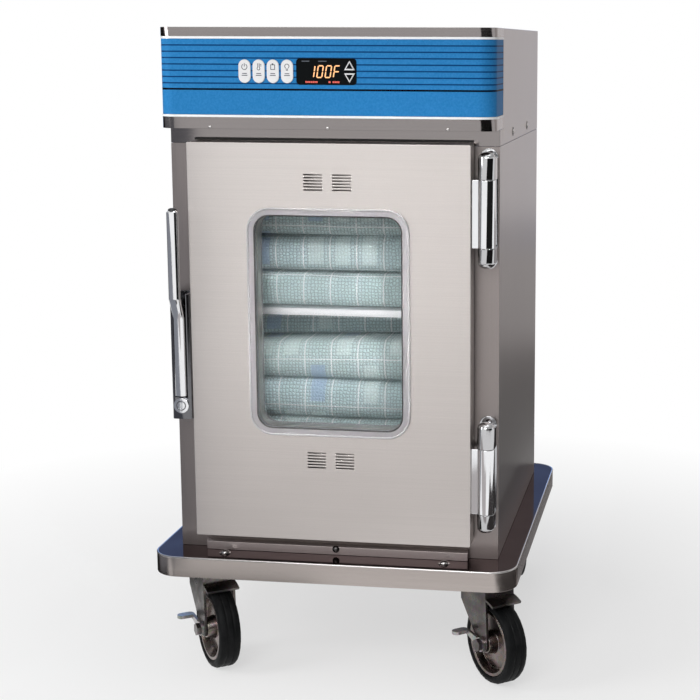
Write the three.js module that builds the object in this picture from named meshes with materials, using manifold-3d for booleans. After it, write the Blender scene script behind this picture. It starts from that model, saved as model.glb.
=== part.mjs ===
import * as THREE from 'three';
import { mergeVertices } from 'three/addons/utils/BufferGeometryUtils.js';
import Module from 'manifold-3d';

// Blanket warming cabinet: an insulated stainless box with a glazed door and a
// control hood, on a wide bumper base with four swivel casters.
// Millimetres, +Z up, the front faces -Y, the origin is under the middle of the box around it.

const wasm = await Module();
wasm.setup();

// Clearances and sheet
const FIT = 0.3;
const SHEET = 2;

// Casters
const WHEEL_RADIUS = 63.5;
const WHEEL_SIDES = 28;
const TYRE_WIDTH = 35;
const TYRE_DEPTH = 12;
const TREAD_GROOVE_AT = 5;
const TREAD_GROOVE_HALF = 1.2;
const TREAD_GROOVE_DEPTH = 1.6;
const RIM_LIP = 5;
const HUB_RADIUS = 15;
const WEB_HALF = 4;
const AXLE_RADIUS = 6;
const AXLE_HEAD_RADIUS = 10;
const AXLE_HEAD_HEIGHT = 6;
const CASTER_HEIGHT = 161;
const CASTER_TRAIL = 38;
const CASTER_INSET_X = 28;
const CASTER_INSET_Y = 40;
const CASTER_PLATE_SIZE = 92;
const CASTER_PLATE_THICK = 5;
const RACE_RADIUS = 29;
const RACE_HEIGHT = 8;
const SWIVEL_GAP = 0.5;
const KINGPIN_RADIUS = 9;
const KINGPIN_NUT_RADIUS = 13;
const KINGPIN_NUT_HEIGHT = 5;
const CROWN_HEIGHT = 15;
const CROWN_BACK = 24;
const CROWN_FRONT = 8;
const FLAP_GAP = 6;
const FLAP_THICK = 4;
const FLAP_ANGLES = [66, 72, 78, 85];
const LEG_GAP = 4;
const LEG_THICK = 4;
const LEG_EYE_RADIUS = 13;
const PEDAL_THICK = 4.5;
const PEDAL_EYE_RADIUS = 11;
const PEDAL_ARM_LENGTH = 42;
const PEDAL_ARM_WIDTH = 15;
const PEDAL_RISE = 4;
const PEDAL_TAB_REACH = 22;
const PEDAL_TAB_THICK = 5;

// Bumper base
const BASE_SIDE_OVERHANG = 32;
const BASE_END_OVERHANG = 60;
const BASE_HEIGHT = 31;
const BASE_CORNER = 41;
const BASE_SHEET = 2.5;
const SKIRT_LIFT = 3;
const RAIL_WEB = 4;
const CROSS_BAR_WIDTH = 40;
const CROSS_BAR_SPACING = 250;

// Insulated body, heights above the base deck
const BODY_WIDTH = 490;
const BODY_DEPTH = 490;
const BODY_HEIGHT = 617;
const LINER_SHEET = 1.5;
const BACK_WALL = 40;
const OPENING_CORNER = 8;
const SILL_WIDTH = 402;
const SILL_HEIGHT = 16;
const SILL_REACH = 15;
const SHELF_TOP = 370;
const SHELF_LIP = 10.5;
const SHELF_SETBACK = 24;
const SHELF_SIDE_GAP = 3;
const SHELF_REAR_GAP = 22;
const LEDGE_WIDTH = 14;
const LEDGE_THICK = 3;
const GUARD_HEIGHT = 22;
const GUARD_SIDE_GAP = 5;
const GUARD_SETBACK = 20;
const GUARD_SLOTS = 7;
const GUARD_SLOT_WIDTH = 110;
const GUARD_SLOT_HEIGHT = 7;
const GUARD_SLOT_GAP = 40;
const HEATER_RADIUS = 4;
const HEATER_TURN = 45;
const HEATER_RUNS = 4;
const HEATER_END_GAP = 60;
const PROBE_RADIUS = 3;
const PROBE_LENGTH = 70;
const PROBE_DROP = 45;
const PROBE_CLIP = 14;

// Door, distances ahead of the body's front face
const DOOR_SIDE_MARGIN = 36.3;
const DOOR_BOTTOM = 30;
const DOOR_HEAD_GAP = 20;
const DOOR_REACH = 40;
const GASKET_THICK = 7;
const GASKET_WIDTH = 16;
const GASKET_INSET = 5;
const OPENING_INSET = 24.7;
const PAN_FLANGE = 12;

// Door window
const SIGHT_WIDTH = 217;
const SIGHT_HEIGHT = 314;
const SIGHT_CENTRE = 329;
const SIGHT_CORNER = 22;
const GLASS_LAP = 4;
const GLASS_THICK = 4;
const GLASS_RECESS = 10;
const TRIM_WIDTH = 12;
const TRIM_THICK = 2.6;

// Door louvres
const LOUVRE_SLOTS = 6;
const LOUVRE_PITCH = 4.4;
const LOUVRE_SLOT = 2;
const LOUVRE_WIDTH = 27.2;
const LOUVRE_GAP = 15.3;
const LOUVRE_OFFSET = 37;

// Hinges
const HINGE_AXIS_IN = 15;
const HINGE_AXIS_AHEAD = 27;
const HINGE_RADIUS = 13;
const HINGE_FROM_END = 98.5;
const HINGE_SLEEVE = 98;
const HINGE_CAP_UPPER = 30;
const HINGE_CAP_LOWER = 20;
const HINGE_DOME = 9;
const HINGE_DOME_STEPS = 3;
const HINGE_DOME_ARC = 72;
const HINGE_PIN_RADIUS = 5;
const HINGE_LEAF_THICK = 5;
const HINGE_LEAF_MARGIN = 4;
const HINGE_DOOR_LEAF_AHEAD = 6;
const HINGE_RUN = 0.5;

// Latch, heights above the base deck
const LATCH_WIDTH = 30;
const LATCH_BACK = 5;
const LATCH_REACH = 46;
const LATCH_BOTTOM = 210;
const LATCH_HEIGHT = 188;
const LATCH_WALL = 5.3;
const LATCH_CORNER = 5;
const LATCH_FLOOR = 33;
const LEVER_GAP = 1.3;
const LEVER_REACH = 53;
const LEVER_THICK = 13;
const LEVER_FOOT_GAP = 3;
const GRIP_REACH = 70;
const GRIP_THICK = 13;
const GRIP_LENGTH = 132;
const NECK_HEIGHT = 30;
const HANDLE_ROUND = 5.5;
const HANDLE_CROWN = 4;
const PIVOT_AHEAD = 36;
const PIVOT_DROP = 20;
const PIVOT_BOSS = 8;
const PIVOT_RADIUS = 3;
const LOCK_RISE = 21;
const LOCK_RADIUS = 9.5;
const LOCK_FACE_RADIUS = 11.6;
const LOCK_FACE_THICK = 3;
const LOCK_DEPTH = 20;
const KEYWAY_WIDTH = 1.8;
const KEYWAY_HEIGHT = 8;
const STRIKE_HEIGHT = 60;
const STRIKE_THICK = 3;

// Control hood
const HOOD_REACH = 52;
const HOOD_GAP = 24;
const HOOD_HEIGHT = 144;
const HOOD_CORNER = 24;
const HOOD_RETURN = 36;
const HOOD_RAIL_TOP = 16;
const HOOD_RAIL_BOTTOM = 20;
const FASCIA_RECESS = 2.5;
const FASCIA_THICK = 1.8;
const CONTROL_RISE = 82;
const KEY_COUNT = 4;
const KEY_START = -115;
const KEY_PITCH = 20.7;
const KEY_WIDTH = 17.6;
const KEY_HEIGHT = 33;
const KEY_PROUD = 1;
const KEY_FLANGE = 2.8;
const KEY_LIP = 1;
const KEY_TRAVEL = 0.8;
const DISPLAY_GAP = 4.6;
const DISPLAY_WIDTH = 87;
const DISPLAY_HEIGHT = 37;
const DISPLAY_CORNER = 5;
const DISPLAY_FACE = 2.4;
const ARROW_WIDTH = 15;
const ARROW_HEIGHT = 13;
const ARROW_SPACING = 17.6;
const ARROW_INSET = 10;
const CUTOUT_MARGIN = 3;
const BOARD_THICK = 1.6;
const BOARD_MARGIN = 10;
const STANDOFF_RADIUS = 3;
const VENT_SLOTS = 7;
const VENT_WIDTH = 120;
const VENT_HEIGHT = 4;
const VENT_PITCH = 11;
const VENT_CENTRE_X = 100;
const INLET_WIDTH = 30;
const INLET_HEIGHT = 24;
const INLET_DEPTH = 26;
const INLET_WALL = 3;
const INLET_FLANGE = 8;
const INLET_CENTRE_X = -130;

// Derived levels
const frontY = -BODY_DEPTH / 2;
const rearY = BODY_DEPTH / 2;
const bodyHalf = BODY_WIDTH / 2;
const deckZ = CASTER_HEIGHT + SKIRT_LIFT + BASE_HEIGHT;
const hoodBottom = BODY_HEIGHT + HOOD_GAP;
const hoodTop = hoodBottom + HOOD_HEIGHT;
const doorHalf = bodyHalf - DOOR_SIDE_MARGIN;
const doorTop = hoodBottom - DOOR_HEAD_GAP;
const doorMiddle = (DOOR_BOTTOM + doorTop) / 2;
const openingHalf = doorHalf - OPENING_INSET;
const openingBottom = DOOR_BOTTOM + OPENING_INSET;
const openingTop = doorTop - OPENING_INSET;
const sightZ = DOOR_BOTTOM + SIGHT_CENTRE;
const linerFront = frontY + SHEET + FIT;
const linerRear = rearY - BACK_WALL;
const controlZ = hoodBottom + CONTROL_RISE;

// Finishes
const finish = (color, roughness, metalness) => (
  new THREE.MeshStandardMaterial({ color, roughness, metalness }));
const STAINLESS = finish(0xb9b2ab, 0.35, 1);
const POLISHED = finish(0x8d8688, 0.15, 1);
const CHROME = finish(0xd9dcdf, 0.08, 1);
const ZINC = finish(0x8f8a8a, 0.35, 1);
const RUBBER = finish(0x16171a, 0.75, 0);
const BLUE = finish(0x2b7dc4, 0.4, 0);
const WHITE = finish(0xf2f3f4, 0.45, 0);
const BLACK = finish(0x0a0a0b, 0.2, 0);
const GLASS = finish(0xbfd0cf, 0.05, 0);
const GREY_RUBBER = finish(0xa9a7a6, 0.6, 0);
const WOOL = finish(0xd8cf9a, 0.95, 0);
const BOARD = finish(0x1f6b3a, 0.5, 0);

// Solids from three.js geometry
function solid(geometry) {
  const bare = geometry.clone();
  bare.deleteAttribute('normal');
  bare.deleteAttribute('uv');
  const welded = mergeVertices(bare, 1e-4);
  const mesh = new wasm.Mesh({
    numProp: 3,
    vertProperties: new Float32Array(welded.attributes.position.array),
    triVerts: new Uint32Array(welded.index.array),
  });
  return new wasm.Manifold(mesh);
}

function geometryOf(shape) {
  const mesh = shape.getMesh();
  const geometry = new THREE.BufferGeometry();
  geometry.setAttribute('position', new THREE.BufferAttribute(new Float32Array(mesh.vertProperties), 3));
  geometry.setIndex(new THREE.BufferAttribute(new Uint32Array(mesh.triVerts), 1));
  geometry.computeVertexNormals();
  return geometry;
}

function block([x0, x1], [y0, y1], [z0, z1]) {
  const geometry = new THREE.BoxGeometry(x1 - x0, y1 - y0, z1 - z0);
  return solid(geometry.translate((x0 + x1) / 2, (y0 + y1) / 2, (z0 + z1) / 2));
}

const AXES_X = new THREE.Matrix4().makeBasis(
  new THREE.Vector3(0, 1, 0), new THREE.Vector3(0, 0, 1), new THREE.Vector3(1, 0, 0));
const AXES_Y = new THREE.Matrix4().makeBasis(
  new THREE.Vector3(1, 0, 0), new THREE.Vector3(0, 0, 1), new THREE.Vector3(0, -1, 0));

function extruded(shape, depth, curveSegments) {
  return new THREE.ExtrudeGeometry(shape, { depth, bevelEnabled: false, curveSegments });
}

// A plan outline raised from one height to another
function prismZ(shape, [z0, z1], segments = 3) {
  return solid(extruded(shape, z1 - z0, segments).translate(0, 0, z0));
}

// A front outline in X and Z, thick from one Y to another
function prismY(shape, [y0, y1], segments = 3) {
  return solid(extruded(shape, y1 - y0, segments).applyMatrix4(AXES_Y).translate(0, y1, 0));
}

// A side outline in Y and Z, wide from one X to another
function prismX(shape, [x0, x1], segments = 3) {
  return solid(extruded(shape, x1 - x0, segments).applyMatrix4(AXES_X).translate(x0, 0, 0));
}

function rodX([x0, x1], y, z, radius, sides = 16) {
  const geometry = new THREE.CylinderGeometry(radius, radius, x1 - x0, sides);
  return solid(geometry.rotateZ(Math.PI / 2).translate((x0 + x1) / 2, y, z));
}

function rodY([y0, y1], x, z, radius, sides = 20) {
  const geometry = new THREE.CylinderGeometry(radius, radius, y1 - y0, sides);
  return solid(geometry.translate(x, (y0 + y1) / 2, z));
}

function coneZ([z0, z1], x, y, radiusLow, radiusHigh, sides = 20) {
  const geometry = new THREE.CylinderGeometry(radiusHigh, radiusLow, z1 - z0, sides);
  return solid(geometry.rotateX(Math.PI / 2).translate(x, y, (z0 + z1) / 2));
}

const rodZ = (span, x, y, radius, sides = 20) => coneZ(span, x, y, radius, radius, sides);

// A closed profile of [radius, height] points turned about local Y
function turnedY(profile, sides) {
  const points = [...profile, profile[0]].map(([r, y]) => new THREE.Vector2(r, y));
  return solid(new THREE.LatheGeometry(points, sides));
}

function roundedRect(x, y, width, height, radius) {
  const [w, h] = [width / 2, height / 2];
  const r = Math.min(radius, w, h);
  const shape = new THREE.Shape();
  shape.absarc(x + w - r, y - h + r, r, -Math.PI / 2, 0);
  shape.absarc(x + w - r, y + h - r, r, 0, Math.PI / 2);
  shape.absarc(x - w + r, y + h - r, r, Math.PI / 2, Math.PI);
  shape.absarc(x - w + r, y - h + r, r, Math.PI, Math.PI * 1.5);
  shape.closePath();
  return shape;
}

function polygon(points) {
  return new THREE.Shape(points.map(([x, y]) => new THREE.Vector2(x, y)));
}

const ahead = (distance) => frontY - distance;
const span = (near, far) => [ahead(far), ahead(near)];
const around = (middle, half) => [middle - half, middle + half];

const model = new THREE.Group();
const cabinet = new THREE.Group();
cabinet.position.z = deckZ;
model.add(cabinet);

function piece(parent, name, shape, material) {
  const mesh = new THREE.Mesh(geometryOf(shape), material);
  mesh.name = name;
  parent.add(mesh);
}

// Bumper base: an inverted stainless pan over a welded caster frame
function basePan() {
  const width = BODY_WIDTH + 2 * BASE_SIDE_OVERHANG;
  const depth = BODY_DEPTH + 2 * BASE_END_OVERHANG;
  const bottom = deckZ - BASE_HEIGHT;
  const outer = prismZ(roundedRect(0, 0, width, depth, BASE_CORNER), [bottom, deckZ], 4);
  const hollow = roundedRect(0, 0, width - 2 * BASE_SHEET, depth - 2 * BASE_SHEET, BASE_CORNER - BASE_SHEET);
  return outer.subtract(prismZ(hollow, [bottom - 1, deckZ - BASE_SHEET], 4));
}

const casterX = bodyHalf - CASTER_INSET_X;
const casterY = rearY - CASTER_INSET_Y;

function baseSubframe() {
  const half = CASTER_PLATE_SIZE / 2 + FIT;
  const railEnd = casterY + half;
  const top = deckZ - BASE_SHEET - FIT;
  const floor = [CASTER_HEIGHT, CASTER_HEIGHT + RAIL_WEB];
  let frame = null;
  for (const x of [-casterX, casterX]) {
    const channel = block(around(x, half), [-railEnd, railEnd], [CASTER_HEIGHT, top]);
    const trough = block(around(x, half - RAIL_WEB), [-railEnd - 1, railEnd + 1], [floor[1], top + 1]);
    const rail = channel.subtract(trough);
    frame = frame ? frame.add(rail) : rail;
  }
  for (const y of [-CROSS_BAR_SPACING / 2, CROSS_BAR_SPACING / 2]) {
    const reach = casterX - half + RAIL_WEB / 2;
    frame = frame.add(block([-reach, reach], around(y, CROSS_BAR_WIDTH / 2), floor));
  }
  return frame;
}

piece(model, 'base_pan', basePan(), POLISHED);
piece(model, 'base_subframe', baseSubframe(), ZINC);

// Casters: the local X axis trails, the local Y axis is the axle
const axleZ = WHEEL_RADIUS * Math.cos(Math.PI / WHEEL_SIDES);
const plateTop = CASTER_HEIGHT - FIT;
const raceTop = plateTop - CASTER_PLATE_THICK;
const raceBottom = raceTop - RACE_HEIGHT;
const crownTop = raceBottom - SWIVEL_GAP;
const crownBottom = crownTop - CROWN_HEIGHT;
const legInner = TYRE_WIDTH / 2 + LEG_GAP;
const legOuter = legInner + LEG_THICK;

function casterPlate() {
  const side = CASTER_PLATE_SIZE;
  const plate = prismZ(roundedRect(0, 0, side, side, 8), [raceTop, plateTop], 2);
  const race = rodZ([raceBottom, raceTop + 1], 0, 0, RACE_RADIUS);
  const pin = rodZ([crownBottom - SWIVEL_GAP - 1, raceTop], 0, 0, KINGPIN_RADIUS);
  const nutTop = crownBottom - SWIVEL_GAP;
  const nut = rodZ([nutTop - KINGPIN_NUT_HEIGHT, nutTop], 0, 0, KINGPIN_NUT_RADIUS, 6);
  return plate.add(race).add(pin).add(nut);
}

function casterFork(braked) {
  const crownFront = CASTER_TRAIL + CROWN_FRONT;
  const crown = block([-CROWN_BACK, crownFront], around(0, legOuter), [crownBottom, crownTop]);
  const leg = polygon([
    [-CROWN_BACK, crownTop], [-CROWN_BACK, crownBottom - CROWN_HEIGHT],
    [CASTER_TRAIL - LEG_EYE_RADIUS, axleZ], [CASTER_TRAIL + LEG_EYE_RADIUS, axleZ],
    [crownFront, crownTop],
  ]);
  const flapArc = (radius) => FLAP_ANGLES.map((angle) => {
    const turn = THREE.MathUtils.degToRad(angle);
    return [CASTER_TRAIL + radius * Math.cos(turn), axleZ + radius * Math.sin(turn)];
  });
  const flapInner = WHEEL_RADIUS + FLAP_GAP;
  const flap = polygon([...flapArc(flapInner + FLAP_THICK), ...flapArc(flapInner).reverse()]);
  let fork = crown.add(prismY(flap, around(0, legOuter)));
  for (const side of [-1, 1]) {
    const [y0, y1] = side < 0 ? [-legOuter, -legInner] : [legInner, legOuter];
    const eye = rodY([y0, y1], CASTER_TRAIL, axleZ, LEG_EYE_RADIUS);
    fork = fork.add(prismY(leg, [y0, y1])).add(eye);
  }
  const pedalRoom = braked ? PEDAL_THICK + 2 * FIT : 0;
  const shaftEnds = [-legOuter - pedalRoom - 1, legOuter + 1];
  const heads = [
    [-legOuter - pedalRoom - AXLE_HEAD_HEIGHT, -legOuter - pedalRoom],
    [legOuter, legOuter + AXLE_HEAD_HEIGHT],
  ];
  fork = fork.add(rodY(shaftEnds, CASTER_TRAIL, axleZ, AXLE_RADIUS));
  for (const head of heads) {
    fork = fork.add(rodY(head, CASTER_TRAIL, axleZ, AXLE_HEAD_RADIUS, 6));
  }
  return fork.subtract(rodZ([crownBottom - 1, crownTop + 1], 0, 0, KINGPIN_RADIUS + FIT));
}

function atAxle(shape) {
  const halfStep = 360 / WHEEL_SIDES / 2;
  return shape.rotate([0, halfStep, 0]).translate([CASTER_TRAIL, 0, axleZ]);
}

const rimRadius = WHEEL_RADIUS - TYRE_DEPTH;
const rimHalf = TYRE_WIDTH / 2 - 2;

function casterHub() {
  const boss = legInner - FIT;
  const rimSeat = rimRadius - FIT;
  const dish = rimSeat - RIM_LIP;
  const lower = [
    [AXLE_RADIUS + FIT, -boss], [HUB_RADIUS, -boss], [HUB_RADIUS + 3, -WEB_HALF - 3],
    [dish - 4, -WEB_HALF], [dish, -rimHalf], [rimSeat, -rimHalf],
  ];
  const upper = lower.map(([r, y]) => [r, -y]).reverse();
  return atAxle(turnedY([...lower, ...upper], WHEEL_SIDES));
}

function casterTyre() {
  const half = TYRE_WIDTH / 2;
  const lower = [
    [rimRadius, -rimHalf], [rimRadius + TYRE_DEPTH * 0.35, -half],
    [WHEEL_RADIUS - TYRE_DEPTH * 0.2, -half + 2], [WHEEL_RADIUS, -half + 7],
    [WHEEL_RADIUS, -TREAD_GROOVE_AT - TREAD_GROOVE_HALF],
    [WHEEL_RADIUS - TREAD_GROOVE_DEPTH, -TREAD_GROOVE_AT],
    [WHEEL_RADIUS, -TREAD_GROOVE_AT + TREAD_GROOVE_HALF],
  ];
  const upper = lower.map(([r, y]) => [r, -y]).reverse();
  return atAxle(turnedY([...lower, ...upper], WHEEL_SIDES));
}

function brakePedal() {
  const outer = -legOuter - FIT;
  const thick = [outer - PEDAL_THICK, outer];
  const [armX, armZ] = [CASTER_TRAIL - PEDAL_ARM_LENGTH, axleZ + PEDAL_RISE];
  const half = PEDAL_ARM_WIDTH / 2;
  const arm = polygon([
    [CASTER_TRAIL, axleZ - half], [CASTER_TRAIL, axleZ + half],
    [armX + half, armZ + half], [armX, armZ + half], [armX, armZ], [armX + half, armZ],
  ].reverse());
  const eye = rodY(thick, CASTER_TRAIL, axleZ, PEDAL_EYE_RADIUS);
  const tab = roundedRect(armX, thick[0] - PEDAL_TAB_REACH / 2 + PEDAL_THICK / 2,
    PEDAL_ARM_WIDTH, PEDAL_TAB_REACH + PEDAL_THICK, half);
  const tabTop = armZ + half;
  const pedal = eye.add(prismY(arm, thick)).add(prismZ(tab, [tabTop - PEDAL_TAB_THICK, tabTop]));
  return pedal.subtract(rodY([thick[0] - 1, thick[1] + 1], CASTER_TRAIL, axleZ, AXLE_RADIUS + FIT));
}

const casters = [
  { place: 'front_left', x: -casterX, y: -casterY, heading: -54, braked: true },
  { place: 'front_right', x: casterX, y: -casterY, heading: -50, braked: true },
  { place: 'rear_left', x: -casterX, y: casterY, heading: 130, braked: false },
  { place: 'rear_right', x: casterX, y: casterY, heading: 108, braked: false },
];

for (const { place, x, y, heading, braked } of casters) {
  const mount = new THREE.Group();
  mount.position.set(x, y, 0);
  model.add(mount);
  piece(mount, `caster_plate_${place}`, casterPlate(), ZINC);
  const swivel = new THREE.Group();
  swivel.rotation.z = THREE.MathUtils.degToRad(heading);
  mount.add(swivel);
  piece(swivel, `caster_fork_${place}`, casterFork(braked), ZINC);
  piece(swivel, `caster_hub_${place}`, casterHub(), ZINC);
  piece(swivel, `caster_tyre_${place}`, casterTyre(), RUBBER);
  if (braked) piece(swivel, `brake_pedal_${place}`, brakePedal(), ZINC);
}

// Insulated body
function outerCasing() {
  const outer = block([-bodyHalf, bodyHalf], [linerFront, rearY], [FIT, BODY_HEIGHT]);
  const inner = bodyHalf - SHEET;
  return outer.subtract(block([-inner, inner], [frontY, rearY - SHEET], [FIT + SHEET, BODY_HEIGHT - SHEET]));
}

function faceFrame() {
  const middle = (FIT + BODY_HEIGHT) / 2;
  const plate = roundedRect(0, middle, BODY_WIDTH, BODY_HEIGHT - FIT, 1);
  const opening = (openingBottom + openingTop) / 2;
  plate.holes.push(roundedRect(0, opening, 2 * openingHalf, openingTop - openingBottom, OPENING_CORNER));
  return prismY(plate, [frontY, frontY + SHEET], 2);
}

function innerLiner() {
  const x = openingHalf + LINER_SHEET;
  const height = [openingBottom - LINER_SHEET, openingTop + LINER_SHEET];
  const outer = block([-x, x], [linerFront, linerRear + LINER_SHEET], height);
  let liner = outer.subtract(block(
    [-openingHalf, openingHalf], [frontY, linerRear], [openingBottom, openingTop]));
  const ledgeTop = SHELF_TOP - SHELF_LIP - FIT;
  for (const side of [-1, 1]) {
    const wall = side * (openingHalf + LINER_SHEET / 2);
    const edge = side * (openingHalf - LEDGE_WIDTH);
    const along = [frontY + SHELF_SETBACK, linerRear - SHELF_REAR_GAP];
    const across = [Math.min(wall, edge), Math.max(wall, edge)];
    liner = liner.add(block(across, along, [ledgeTop - LEDGE_THICK, ledgeTop]));
  }
  return liner;
}

function insulationWrap() {
  const x = bodyHalf - SHEET - FIT;
  const outer = block([-x, x], [linerFront, rearY - SHEET - FIT],
    [FIT + SHEET + FIT, BODY_HEIGHT - SHEET - FIT]);
  const skin = LINER_SHEET + FIT;
  return outer.subtract(block([-openingHalf - skin, openingHalf + skin],
    [frontY, linerRear + skin], [openingBottom - skin, openingTop + skin]));
}

// A sheet tray turned upside down
function invertedTray(x, y, [z0, z1], sheet) {
  const outer = block(x, y, [z0, z1]);
  return outer.subtract(block(
    [x[0] + sheet, x[1] - sheet], [y[0] + sheet, y[1] - sheet], [z0 - 1, z1 - sheet]));
}

function shelf() {
  const half = openingHalf - SHELF_SIDE_GAP;
  const depth = [frontY + SHELF_SETBACK, linerRear - SHELF_REAR_GAP];
  return invertedTray([-half, half], depth, [SHELF_TOP - SHELF_LIP, SHELF_TOP], LINER_SHEET);
}

const guardDepth = [frontY + GUARD_SETBACK, linerRear - GUARD_SIDE_GAP];

function heaterGuard() {
  const half = openingHalf - GUARD_SIDE_GAP;
  const bottom = openingBottom + FIT;
  const top = bottom + GUARD_HEIGHT;
  let guard = invertedTray([-half, half], guardDepth, [bottom, top], LINER_SHEET);
  const step = (guardDepth[1] - guardDepth[0]) / (GUARD_SLOTS + 1);
  for (let row = 1; row <= GUARD_SLOTS; row += 1) {
    for (const side of [-1, 1]) {
      const x = side * (GUARD_SLOT_WIDTH + GUARD_SLOT_GAP) / 2;
      const y = guardDepth[0] + row * step;
      const slot = block(around(x, GUARD_SLOT_WIDTH / 2), around(y, GUARD_SLOT_HEIGHT / 2),
        [top - LINER_SHEET - 1, top + 1]);
      guard = guard.subtract(slot);
    }
  }
  return guard;
}

function heaterElement() {
  const z = openingBottom + FIT + HEATER_RADIUS;
  const [nearY, farY] = [guardDepth[0] + HEATER_END_GAP, guardDepth[1] - HEATER_END_GAP];
  const startX = -(HEATER_RUNS - 1) * HEATER_TURN;
  const path = new THREE.CurvePath();
  for (let run = 0; run < HEATER_RUNS; run += 1) {
    const x = startX + run * 2 * HEATER_TURN;
    const ends = run % 2 ? [nearY, farY] : [farY, nearY];
    path.add(new THREE.LineCurve3(new THREE.Vector3(x, ends[0], z), new THREE.Vector3(x, ends[1], z)));
    if (run === HEATER_RUNS - 1) break;
    const bulge = run % 2 ? 1 : -1;
    const corner = (dx, dy) => new THREE.Vector3(x + HEATER_TURN * dx, ends[1] + bulge * HEATER_TURN * dy, z);
    path.add(new THREE.CubicBezierCurve3(corner(0, 0), corner(0, 0.8), corner(2, 0.8), corner(2, 0)));
  }
  const section = new THREE.Shape();
  section.absarc(0, 0, HEATER_RADIUS, 0, Math.PI * 2);
  return solid(new THREE.ExtrudeGeometry(section,
    { steps: 48, curveSegments: 5, bevelEnabled: false, extrudePath: path }));
}

function temperatureProbe() {
  const z = openingTop - PROBE_DROP;
  const wall = linerRear - FIT;
  const rodYAt = wall - PROBE_CLIP / 2;
  const clip = block(around(0, PROBE_CLIP / 2), [wall - PROBE_CLIP, wall], around(z, PROBE_CLIP / 2));
  return clip.add(rodX(around(0, PROBE_LENGTH / 2), rodYAt, z, PROBE_RADIUS, 10));
}

function sillStrip() {
  const top = FIT + SILL_HEIGHT;
  const profile = polygon([
    [ahead(SILL_REACH), FIT], [ahead(FIT), FIT], [ahead(FIT), top],
    [ahead(SILL_REACH) + SILL_HEIGHT / 4, top], [ahead(SILL_REACH), top - SILL_HEIGHT / 4],
  ]);
  return prismX(profile, [-SILL_WIDTH / 2, SILL_WIDTH / 2]);
}

piece(cabinet, 'outer_casing', outerCasing(), STAINLESS);
piece(cabinet, 'face_frame', faceFrame(), STAINLESS);
piece(cabinet, 'inner_liner', innerLiner(), STAINLESS);
piece(cabinet, 'insulation_wrap', insulationWrap(), WOOL);
piece(cabinet, 'sill_strip', sillStrip(), STAINLESS);
piece(cabinet, 'shelf', shelf(), STAINLESS);
piece(cabinet, 'heater_guard', heaterGuard(), STAINLESS);
piece(cabinet, 'heater_element', heaterElement(), ZINC);
piece(cabinet, 'temperature_probe', temperatureProbe(), STAINLESS);

// Control hood
function hoodOutline(inset, back) {
  const half = bodyHalf - inset;
  const front = ahead(HOOD_REACH) + inset;
  const radius = HOOD_CORNER - inset;
  const shape = new THREE.Shape();
  shape.absarc(-half + radius, front + radius, radius, Math.PI, Math.PI * 1.5);
  shape.absarc(half - radius, front + radius, radius, Math.PI * 1.5, Math.PI * 2);
  shape.lineTo(half, back);
  shape.lineTo(-half, back);
  shape.closePath();
  return shape;
}

const hoodBack = frontY + HOOD_RETURN;
const fasciaLow = hoodBottom + HOOD_RAIL_BOTTOM;
const fasciaHigh = hoodTop - HOOD_RAIL_TOP;
const fasciaFace = HOOD_REACH - (FASCIA_RECESS - FIT - FASCIA_THICK);
const fasciaBack = HOOD_REACH - FASCIA_RECESS + FIT;
const wallBack = HOOD_REACH - FASCIA_RECESS - SHEET;
const flangeFront = fasciaBack - FIT;
const flangeBack = flangeFront - KEY_FLANGE;
const boardFront = flangeBack - KEY_TRAVEL - FIT;
const keyXs = Array.from({ length: KEY_COUNT }, (_, index) => KEY_START + index * KEY_PITCH);
const displayLeft = keyXs[KEY_COUNT - 1] + KEY_WIDTH / 2 + DISPLAY_GAP;
const displayX = displayLeft + DISPLAY_WIDTH / 2;
const arrowX = displayLeft + DISPLAY_WIDTH - ARROW_INSET;
const cutout = {
  left: keyXs[0] - KEY_WIDTH / 2 - KEY_LIP - CUTOUT_MARGIN,
  right: displayLeft + DISPLAY_WIDTH + CUTOUT_MARGIN,
  half: Math.max(KEY_HEIGHT / 2 + KEY_LIP, DISPLAY_HEIGHT / 2) + CUTOUT_MARGIN,
};

function hoodShell() {
  const lower = prismZ(hoodOutline(0, hoodBack), [hoodBottom, fasciaLow]);
  const middle = prismZ(hoodOutline(FASCIA_RECESS, hoodBack), [fasciaLow - 1, fasciaHigh + 1]);
  const upper = prismZ(hoodOutline(0, hoodBack), [fasciaHigh, hoodTop]);
  const hollow = hoodOutline(FASCIA_RECESS + SHEET, hoodBack + 1);
  const neck = block([-bodyHalf, bodyHalf], [frontY, frontY + SHEET],
    [BODY_HEIGHT + FIT, hoodBottom + SHEET]);
  const panelHole = block([cutout.left, cutout.right], span(wallBack - 1, HOOD_REACH),
    around(controlZ, cutout.half));
  return lower.add(middle).add(upper)
    .subtract(prismZ(hollow, [hoodBottom + SHEET, hoodTop - SHEET]))
    .add(neck)
    .subtract(panelHole);
}

function triangle(x, z, width, height, direction, grow) {
  const halfWidth = width / 2;
  const slope = Math.hypot(halfWidth, height);
  const inradius = halfWidth * height / (halfWidth + slope);
  const scale = 1 + grow / inradius;
  const centre = -height / 2 + inradius;
  const corners = [[-halfWidth, -height / 2], [halfWidth, -height / 2], [0, height / 2]];
  const points = corners.map(([dx, dz]) => [
    x + dx * scale, z + direction * (centre + (dz - centre) * scale),
  ]);
  return polygon(direction > 0 ? points : points.reverse());
}

const keyOutline = (x, grow) => roundedRect(
  x, controlZ, KEY_WIDTH + 2 * grow, KEY_HEIGHT + 2 * grow, KEY_WIDTH / 2 + grow);
const arrowZ = (direction) => controlZ + direction * ARROW_SPACING / 2;
const arrowOutline = (direction, grow) => triangle(
  arrowX, arrowZ(direction), ARROW_WIDTH, ARROW_HEIGHT, direction, grow);

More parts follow.
